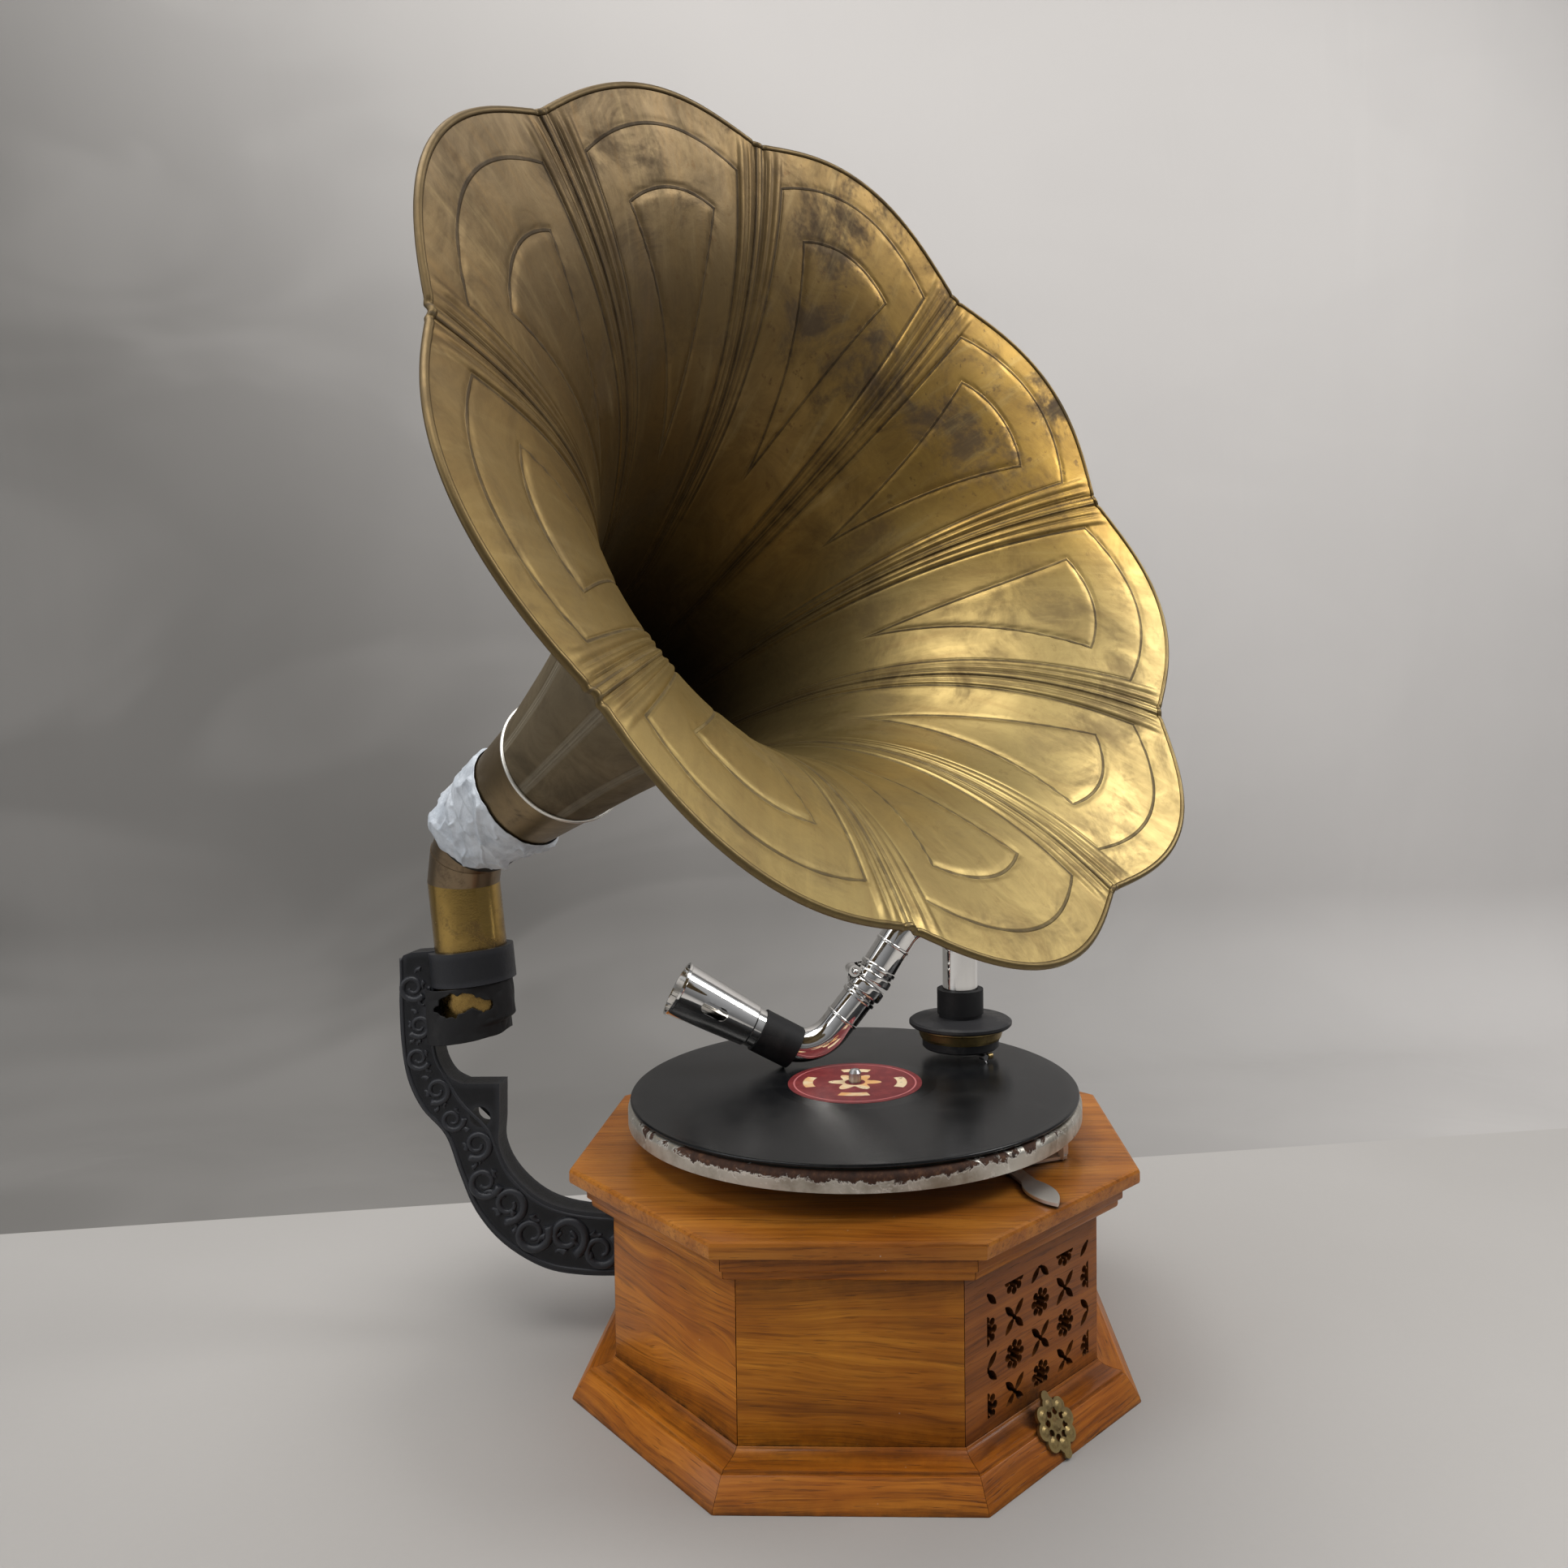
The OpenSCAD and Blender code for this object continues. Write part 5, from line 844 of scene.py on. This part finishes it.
def label_material():
    """Maroon paper with a thin rose ring, a cream star and plain bars."""
    g, p = paint("record label")
    x, y, _ = g.split(p)
    radius = g.math("SQRT", x * x + y * y)
    angle = g.math("ARCTAN2", y, x)
    fibre = g.noise(p, 900.0, 4.0, 0.6)
    wear = g.noise(p, 120.0, 5.0, 0.7)
    base = g.mix(g.step(wear, 0.4, 0.7), (0.16, 0.016, 0.02), (0.25, 0.035, 0.035))
    ring = g.fall(abs(radius - 0.0345), 0.0003, 0.0006)
    star_r = 0.0115 + g.math("COSINE", angle * 6.0) * 0.0035
    star = g.fall(radius - star_r, -0.0002, 0.0002)
    core = g.step(radius, 0.0056, 0.006)
    lobes = g.fall(abs(radius - (0.0245 + g.math("COSINE", angle * 2.0) * 0.0022)), 0.0026, 0.003)
    lobes = lobes * g.step(g.math("COSINE", angle * 4.0), 0.1, 0.2)
    worn = g.step(wear, 0.3, 0.42)
    cream = g.mix(g.step(g.noise(p, 60.0, 3.0), 0.4, 0.62), (0.82, 0.66, 0.42), (0.78, 0.42, 0.16))
    colour = g.mix(ring * 0.8, base, (0.62, 0.2, 0.2))
    colour = g.mix(g.most(star * core, lobes) * worn, colour, cream)
    return g.done(Base_Color=colour, Roughness=0.48, Specular_IOR_Level=0.4,
                  Normal=g.bump(fibre, 0.00005, 0.4))


brass_bits = old_brass("small brass", (0.5, 0.37, 0.15), (0.26, 0.19, 0.09), blotchy=0.4,
                       size=0.25, hollow_reach=0.002)
pipe_brass = old_brass("pipe brass", (0.5, 0.33, 0.1), (0.24, 0.15, 0.05), rough=0.2, size=0.5)
elbow_brass = old_brass("elbow brass", (0.25, 0.185, 0.115), (0.14, 0.1, 0.065), rough=0.34, size=0.5)
neck_brass = old_brass("neck brass", (0.28, 0.2, 0.1), (0.16, 0.115, 0.065), size=0.6)
iron = cast_iron("black iron")
black_rubber = rubber("black rubber")
steel = plain_metal("bare steel", (0.55, 0.55, 0.56), 0.3)
nickel = chrome("bright nickel")
soundbox_black = rubber("soundbox black", (0.02, 0.02, 0.022), 0.5, 0.5)
gear_brass = plain_metal("gear brass", (0.7, 0.52, 0.23), 0.28, tarnish_colour=(0.25, 0.15, 0.06))
motor_grey = plain_metal("motor iron", (0.2, 0.22, 0.23), 0.5)
mica = plain_metal("pressed sheet", (0.72, 0.72, 0.73), 0.25)
white_metal = plain_metal("lever metal", (0.82, 0.82, 0.8), 0.35, tarnish=0.15)

give(brass_bits, "rosette", "soundbox_housing", "needle_screw")
give(plain_metal("pale wire", (0.8, 0.78, 0.72), 0.3), "neck_ring")
give(iron, "horn_bracket", "bracket_screws")
give(pipe_brass, "horn_pipe")
give(elbow_brass, "horn_elbow")
give(neck_brass, "horn_neck")
give(black_rubber, "horn_sleeve", "arm_sleeve", "soundbox_sleeve")
give(platter_material(), "turntable")
give(rubber("mat felt", (0.03, 0.035, 0.03), 0.9, 0.4), "turntable_mat")
give(record_material(), "record")
give(label_material(), "record_label")
give(steel, "spindle", "stylus_bar", "needle", "lever_screw", "motor_pillars", "barrel_arbor",
     "ratchet_pawl", "governor_shaft", "governor_bearings", "regulator_arm", "winding_shaft", "mainspring",
     "crank_escutcheon")
give(nickel, "arm_cone", "arm_tube", "knuckle_pin", "gooseneck", "crank_arm")
give(soundbox_black, "soundbox_back", "soundbox_front")
give(mica, "diaphragm")
give(white_metal, "brake_lever")
give(motor_grey, "motor_top_plate", "motor_bottom_plate")
give(gear_brass, "spring_barrel", "idler_gear", "governor_weights")
give(rubber("pad leather", (0.2, 0.1, 0.05), 0.8, 0.2), "brake_pad")
cad_wood("crank_grip", trim_wood, Y, Z, 64)


# Bracket: raised border and scrolls on both faces of the casting

def spline(points, steps):
    """Curve through the points, as the bracket's outline is drawn."""
    p = np.asarray(points, float)
    n = len(p) - 1
    out = []
    for i in range(n):
        a, b, c, d = p[max(i - 1, 0)], p[i], p[i + 1], p[min(i + 2, n)]
        for t in np.arange(steps) / steps:
            out.append(0.5 * (2 * b + (c - a) * t + (2 * a - 5 * b + 4 * c - d) * t * t
                              + (3 * b - a - 3 * c + d) * t ** 3))
    return np.array([*out, p[-1]])


def along_curve(curve, n):
    """n points evenly spaced along a curve."""
    far = run_of(curve)
    w = np.linspace(0, far[-1], n)
    return np.stack([np.interp(w, far, curve[:, i]) for i in range(curve.shape[1])], 1)


FACE_Y, STATIONS = 7.0, 200
HOLE, HOLE_ROOM = (-212.5, 129.8), 6.5
outer_edge = spline([(-133, 39), (-154.6, 39.2), (-177.5, 43.4), (-200.3, 57.1), (-215.9, 75.9),
                     (-224.9, 97.6), (-232.5, 119.3), (-245.8, 134.8), (-253.6, 152), (-256.7, 173.3),
                     (-257.3, 222)], 12)
inner_edge = spline([(-133, 73.5), (-160.5, 76.5), (-179.6, 83.5), (-194.8, 97.6), (-202, 113), (-207, 124),
                     (-221, 138), (-230.5, 153.6), (-236.2, 165.3), (-238.6, 186.8), (-238.6, 203)], 12)
OUT, INN = along_curve(outer_edge, STATIONS), along_curve(inner_edge, STATIONS)


def band_point(w, across):
    """Point of the casting's face at w (0 foot, 1 ring), across from -1 outer edge to 1 inner edge."""
    line = (OUT + INN) / 2 + across * (INN - OUT) / 2
    return np.array([np.interp(w, np.linspace(0, 1, STATIONS), line[:, i]) for i in (0, 1)])


def flat_arc(mid, r, a):
    """Points round mid in a plane; r and a may both change along them."""
    return mid + np.stack([r * np.cos(a), r * np.sin(a)], 1)


def bracket_relief():
    ridges = []
    for side in (-1, 1):
        ridges.append((np.array([band_point(w, side * 0.84) for w in np.linspace(0, 1, 150)]), 1.0, 1.0))
    count = 11
    for i in range(count):
        w = (i + 0.6) / (count + 0.1)
        half = np.linalg.norm(band_point(w, 1) - band_point(w, -1)) / 2
        ahead = unit(band_point(min(w + 0.02, 1), 0) - band_point(w - 0.02, 0))
        turn = atan2(ahead[1], ahead[0])
        hand = 1 if i % 2 else -1
        centre = band_point(w, 0.16 * hand)
        spin = np.linspace(0, 2.7 * pi, 34)
        curl = flat_arc(centre, 0.62 * half * (1 - 0.72 * spin / spin[-1]), turn + hand * (2.2 + spin))
        lines = [(curl, 0.17 * half, 0.07 * half)]
        for dx, dy in ((-0.62, -0.5), (0.1, -0.66), (0.66, -0.34)):
            spot = centre + half * (dx * ahead + hand * dy * np.array([ahead[1], -ahead[0]]))
            leaf = flat_arc(spot, 0.2 * half, turn + hand * (dx * 1.4 - 1.57) + np.linspace(-0.9, 0.9, 9))
            lines.append((leaf, 0.13 * half, 0.05 * half))
        ridges += [line for line in lines if np.linalg.norm(line[0] - HOLE, axis=1).min() > HOLE_ROOM]
    parts = []
    for face in (-1, 1):
        for i, (line, thick, thin) in enumerate(ridges):
            path = np.insert(line, 1, face * (FACE_Y - 0.1), axis=1)
            parts.append(sweep(f"ridge_{face}_{i}", path, np.linspace(thick, thin, len(line))))
    return join("bracket_scrolls", parts)


finish_piece(bracket_relief(), "case", "black_iron", iron)


COLLAR_R, COLLAR_WALL, COLLAR_TOP, COLLAR_LOW = 20.3, 0.9, 9.95, 39.5
WINDOW_TURN, WINDOW_DOWN, WINDOW_WIDE, WINDOW_TALL = radians(96), 19.5, 0.62, 6.6


def collar_piece():
    """Perished rubber collar with a torn window, hugging the pipe above and hanging free below it."""
    a = full_turn(240)
    e1, e2, e3 = basis(PIPE)
    down = np.linspace(COLLAR_TOP, COLLAR_LOW, 80)[:, None]
    aa = a[None] + 0 * down
    off = 3.6 + 2.2 * (down - 10) / 28
    free = off * np.cos(aa) + np.sqrt(22.5 ** 2 - (off * np.sin(aa)) ** 2)
    loose = smooth01((down - 30.5) / 3)
    r = np.maximum(free, COLLAR_R * (1 - loose) + free * loose)
    warp = Field(31, 40)
    q = 22 * around(aa, X, Y) + down[..., None] * Z
    r = r + 0.3 * warp(q, 6) + 0.25 * np.abs(warp(q + 60, 3.2))
    s = down + 0.7 * warp(q + 30, 9) * smooth01((down - 34) / 4) + 0.5 * np.cos(aa)
    s = np.maximum(s, COLLAR_TOP)
    obj = grid("torn_collar", RING + r[..., None] * around(aa, e1, e2) - s[..., None] * e3)
    wide = ((aa - WINDOW_TURN + pi) % (2 * pi) - pi) / WINDOW_WIDE
    tall = (down - WINDOW_DOWN) / WINDOW_TALL
    inside = wide ** 2 + tall ** 2 + 0.45 * warp(q + 10, 3.0) + 0.2 * warp(q + 20, 1.4) < 1.0
    with edited(obj.data) as bm:
        torn = [f for f in bm.faces if all(inside.ravel()[v.index] for v in f.verts)]
        bmesh.ops.delete(bm, geom=torn, context="FACES")
        bmesh.ops.recalc_face_normals(bm, faces=bm.faces)
    mod = obj.modifiers.new("wall", "SOLIDIFY")
    mod.thickness = COLLAR_WALL * MM
    mod.offset = 0.0
    apply_modifiers(obj)
    return finish_piece(obj, "horn", "black_rubber", black_rubber, "pipe_collar")


collar_piece()


# Tone arm, drawn in its own upright plane as (u, w) and stood on the record, like the solids

def heading(a):
    """Direction at an angle in the arm's plane, and the one to its left."""
    return np.array([cos(a), sin(a)]), np.array([-sin(a), cos(a)])


ARM_AT, ARM_TURN = v3(-45, 30, 0), radians(13.6)
ARM_AHEAD = v3(cos(ARM_TURN), sin(ARM_TURN), 0)
ARM_SIDE = np.cross(Z, ARM_AHEAD)
RECORD_Z, SLOPE, RISE, NECK_RISE = 147.2, radians(30), radians(50), radians(56)
(CONE_DIR, CONE_LEFT), (TUBE_DIR, TUBE_LEFT), (NECK_DIR, NECK_LEFT) = map(heading, (-SLOPE, RISE, NECK_RISE))
TUBE_R, NECK_R, TUBE_WALL, TUBE_BEND, NECK_BEND = 10.0, 10.8, 1.3, 26, 21
EYE_R, EYE_ROOM = 3.5, 3.75
SLEEVE_END = np.array([8.2, RECORD_Z + 12.9 * cos(SLOPE) + 0.05])
BEND_START = SLEEVE_END - 9.4 * CONE_DIR
BEND_MID = BEND_START + TUBE_BEND * CONE_LEFT
BEND_END = BEND_MID - TUBE_BEND * TUBE_LEFT
KNUCKLE = BEND_END + 34 * TUBE_DIR
PIN = KNUCKLE + 13.4 * TUBE_LEFT
NECK_START = KNUCKLE + 33.6 * NECK_DIR
NECK_MID = NECK_START - NECK_BEND * NECK_LEFT
BOX_U = NECK_MID[0] + NECK_BEND
NECK_LOW = RECORD_Z + 30.2


def arm_world(line):
    """Points of the arm's plane in the frame."""
    return ARM_AT + np.asarray(line, float) @ np.array([ARM_AHEAD, Z])


def hollow_tube(name, line, radius, steps=64):
    """Open tube along a line of the arm's plane, outside and inside, with room for the lugs' eyes."""
    line = arm_world(line)
    up = np.cross(unit(np.gradient(line, axis=0)), ARM_SIDE)
    way = around(full_turn(steps), ARM_SIDE, up[:, None])
    outer, inner = [line[:, None] + r[:, None, None] * way for r in (radius, radius - TUBE_WALL)]
    pts = np.concatenate([outer, inner[::-1]])
    from_pin = pts - arm_world(PIN)
    from_pin -= (from_pin @ ARM_SIDE)[..., None] * ARM_SIDE
    far = np.linalg.norm(from_pin, axis=-1)[..., None]
    obj = grid(name, pts + from_pin * np.maximum(EYE_ROOM / far - 1, 0), True, True)
    obj.data.set_sharp_from_angle(angle=radians(50))
    return tidy_normals(obj)


def swell_at(far, *rings):
    """Extra radius of raised rings: (place, half length, height) along a tube."""
    return np.max([high * np.clip(1 - ((far - place) / half) ** 6, 0, 1) ** 0.5
                   for place, half, high in rings], axis=0)


def arm_tubes():
    quarter = pi / 2
    turn = np.linspace(-quarter - SLOPE, -quarter + RISE, 40)
    line = np.concatenate([np.linspace(BEND_START - 9 * CONE_DIR, BEND_START, 8)[:-1],
                           flat_arc(BEND_MID, TUBE_BEND, turn)[:-1],
                           np.linspace(BEND_END, KNUCKLE - 0.1 * TUBE_DIR, 150)])
    far = run_of(line)
    end = far[-1]
    r = TUBE_R + swell_at(far, (end - 3.6, 3.8, 1.9), (end - 10.5, 1.4, 1.1), (end - 26.5, 0.9, 0.6))
    lower = hollow_tube("arm_lower_tube", line, r)
    turn = np.linspace(quarter + NECK_RISE, 0, 48)
    line = np.concatenate([np.linspace(KNUCKLE + 1.7 * NECK_DIR, NECK_START, 130)[:-1],
                           flat_arc(NECK_MID, NECK_BEND, turn)[:-1],
                           np.linspace((BOX_U, NECK_MID[1]), (BOX_U, NECK_LOW), 60)])
    r = NECK_R + swell_at(run_of(line), (2.6, 2.7, 1.3), (8.6, 1.4, 0.9), (25.0, 0.9, 0.6))
    return lower, hollow_tube("arm_gooseneck", line, r)


def ears():
    """Lugs of the knuckle round its pin: one on the lower tube, between two on the gooseneck."""

    def lug(name, low, high, reach):
        """Eye around the pin with a root that runs down to the band."""
        a = np.linspace(-pi / 2, pi / 2, 17)
        ring = PIN + EYE_R * around(a, TUBE_LEFT, TUBE_DIR)
        root = [PIN + far * TUBE_DIR - 3 * TUBE_LEFT for far in reach]
        outline = arm_world([*ring, *root])
        return bevel(block(name, outline + low * ARM_SIDE, outline + high * ARM_SIDE), 0.4, 40)

    middle = lug("lug_middle", -3.0, 3.0, (-5.5, -0.5))
    return [middle] + [lug(f"lug_{i}", z - 1.25, z + 1.25, (0.6, 5.2)) for i, z in enumerate((-4.6, 4.6))]


for piece, body in zip([*arm_tubes(), *ears()], ("arm", "neck", "arm", "neck", "neck")):
    finish_piece(piece, body, "arm_nickel", nickel)


# Stage, light and camera

def one_sided(g):
    """Paper that only shows from its front, so that it hides nothing from behind."""
    front, behind = Out(g, g.shader.outputs[0]), g.node("BsdfTransparent")
    both = g.node("MixShader", {0: g.node("NewGeometry", out="Backfacing"), 1: front, 2: behind})
    g.tree.links.new(both.socket, g.tree.get_output_node("ALL").inputs[0])


def stage():
    g, p = paint("floor paper")
    soft = g.noise(p, 3.0, 4.0, 0.5)
    fine = g.noise(p, 260.0, 3.0, 0.6)
    g.done(Base_Color=g.mix(soft * 0.5 + fine * 0.1, (0.37, 0.355, 0.34), (0.48, 0.465, 0.45)),
           Roughness=0.75, Specular_IOR_Level=0.2)
    corners = [(-3000, -3000), (3000, -3000), (3000, 1200), (-3000, 1200)]
    floor = make_mesh("floor", [(x, y, -0.02) for x, y in corners], [[0, 1, 2, 3]], False)
    dress(floor, g.owner)
    h, p = paint("backdrop paper")
    soft = h.noise(p, (2.2, 2.2, 1.1), 3.0, 0.5)
    fold = h.noise(p, (6.0, 6.0, 1.2), 3.0, 0.5, 0.6)
    x, _, z = h.split(p)
    # Painted light: the backdrop paper is darker towards the lower left and brighter to the right and upwards
    bright = h.step(x + z * 0.8 + soft * 0.3, -0.2, 1.1)
    paper = h.mix(bright, (0.13, 0.126, 0.119), (0.5, 0.485, 0.475))
    crease = h.step(h.noise(p, (2.2, 2.2, 4.5), 2.0, 0.5, 1.2), 0.4, 0.62)
    paper = h.mix(soft * 0.25, paper, (0.42, 0.4, 0.385))
    h.done(Base_Color=h.mix(crease * 0.07, paper, (0.62, 0.6, 0.58)), Roughness=0.8, Specular_IOR_Level=0.15,
           Normal=h.bump(fold, 0.02, 0.3))
    one_sided(h)
    turn, start, bend = 0.176, 238.2, 160.0
    slant = unit(v3(1, turn, 0))
    behind = v3(-slant[1], slant[0], 0)
    curve = [(0, 0.3)] + [(230 + bend * sin(w), 0.3 + bend * (1 - cos(w)))
                          for w in np.linspace(0, pi / 2, 15)] + [(230 + bend, 3000)]
    rows = [[v3(0, start, z) + side * slant + out * behind for side in (-3200, 3200)] for out, z in curve]
    back = grid("backdrop", rows, False)
    dress(back, h.owner)


def area(name, place, target, size, power, colour=(1, 1, 1)):
    light = bpy.data.lights.new(name, "AREA")
    light.shape = "RECTANGLE"
    light.size, light.size_y = size
    light.energy = power
    light.color = colour
    obj = add_object(name, light)
    obj.location = Vector(place)
    obj.rotation_euler = (Vector(target) - Vector(place)).to_track_quat("-Z", "Y").to_euler()


def lights():
    area("overhead", (-0.25, -0.5, 1.7), (0.0, 0.0, 0.25), (1.3, 1.0), 22, (1.0, 0.98, 0.95))
    area("left", (-1.5, -0.9, 1.0), (-0.05, 0.0, 0.25), (0.9, 1.2), 9, (0.96, 0.98, 1.0))
    area("right_back", (1.15, -0.05, 1.35), (0.05, 0.0, 0.3), (0.5, 0.7), 11, (1.0, 0.99, 0.97))
    g = Graph(bpy.data.worlds.new("room"), "Background", "World")
    height = g.node("MapRange", {"Value": g.split(g.node("TexCoord", out="Generated"))[2], "From Min": -1})
    g.done(Color=g.ramp(height, [(0.35, (0.09, 0.087, 0.084)), (0.55, (0.22, 0.22, 0.225)),
                                 (0.95, (0.75, 0.76, 0.78))]), Strength=0.7)
    bpy.context.scene.world = g.owner


FRAME_PX, FOCAL_PX, SHIFT_PX = 1932, 1350, -85.5
CAMERA_AT, CAMERA_TURN = (0.0167, -0.6165, 0.3346), (-0.0258, 0.0293, -0.0099)


def camera():
    yaw, pitch, roll = CAMERA_TURN
    forward = v3(sin(yaw) * cos(pitch), cos(yaw) * cos(pitch), -sin(pitch))
    right = v3(cos(yaw), -sin(yaw), 0)
    up = np.cross(right, forward)
    right, up = cos(roll) * right + sin(roll) * up, cos(roll) * up - sin(roll) * right
    data = bpy.data.cameras.new("camera")
    data.sensor_width = 36
    data.lens = FOCAL_PX / FRAME_PX * data.sensor_width
    data.shift_x = SHIFT_PX / FRAME_PX
    data.clip_start, data.clip_end = 0.01, 20
    obj = add_object("camera", data)
    turn = Matrix((right, up, -forward)).transposed()
    obj.matrix_world = Matrix.Translation(CAMERA_AT) @ turn.to_4x4()
    bpy.context.scene.camera = obj


stage()
lights()
camera()
scene = bpy.context.scene
scene.view_settings.view_transform = "Standard"
scene.view_settings.look = "None"
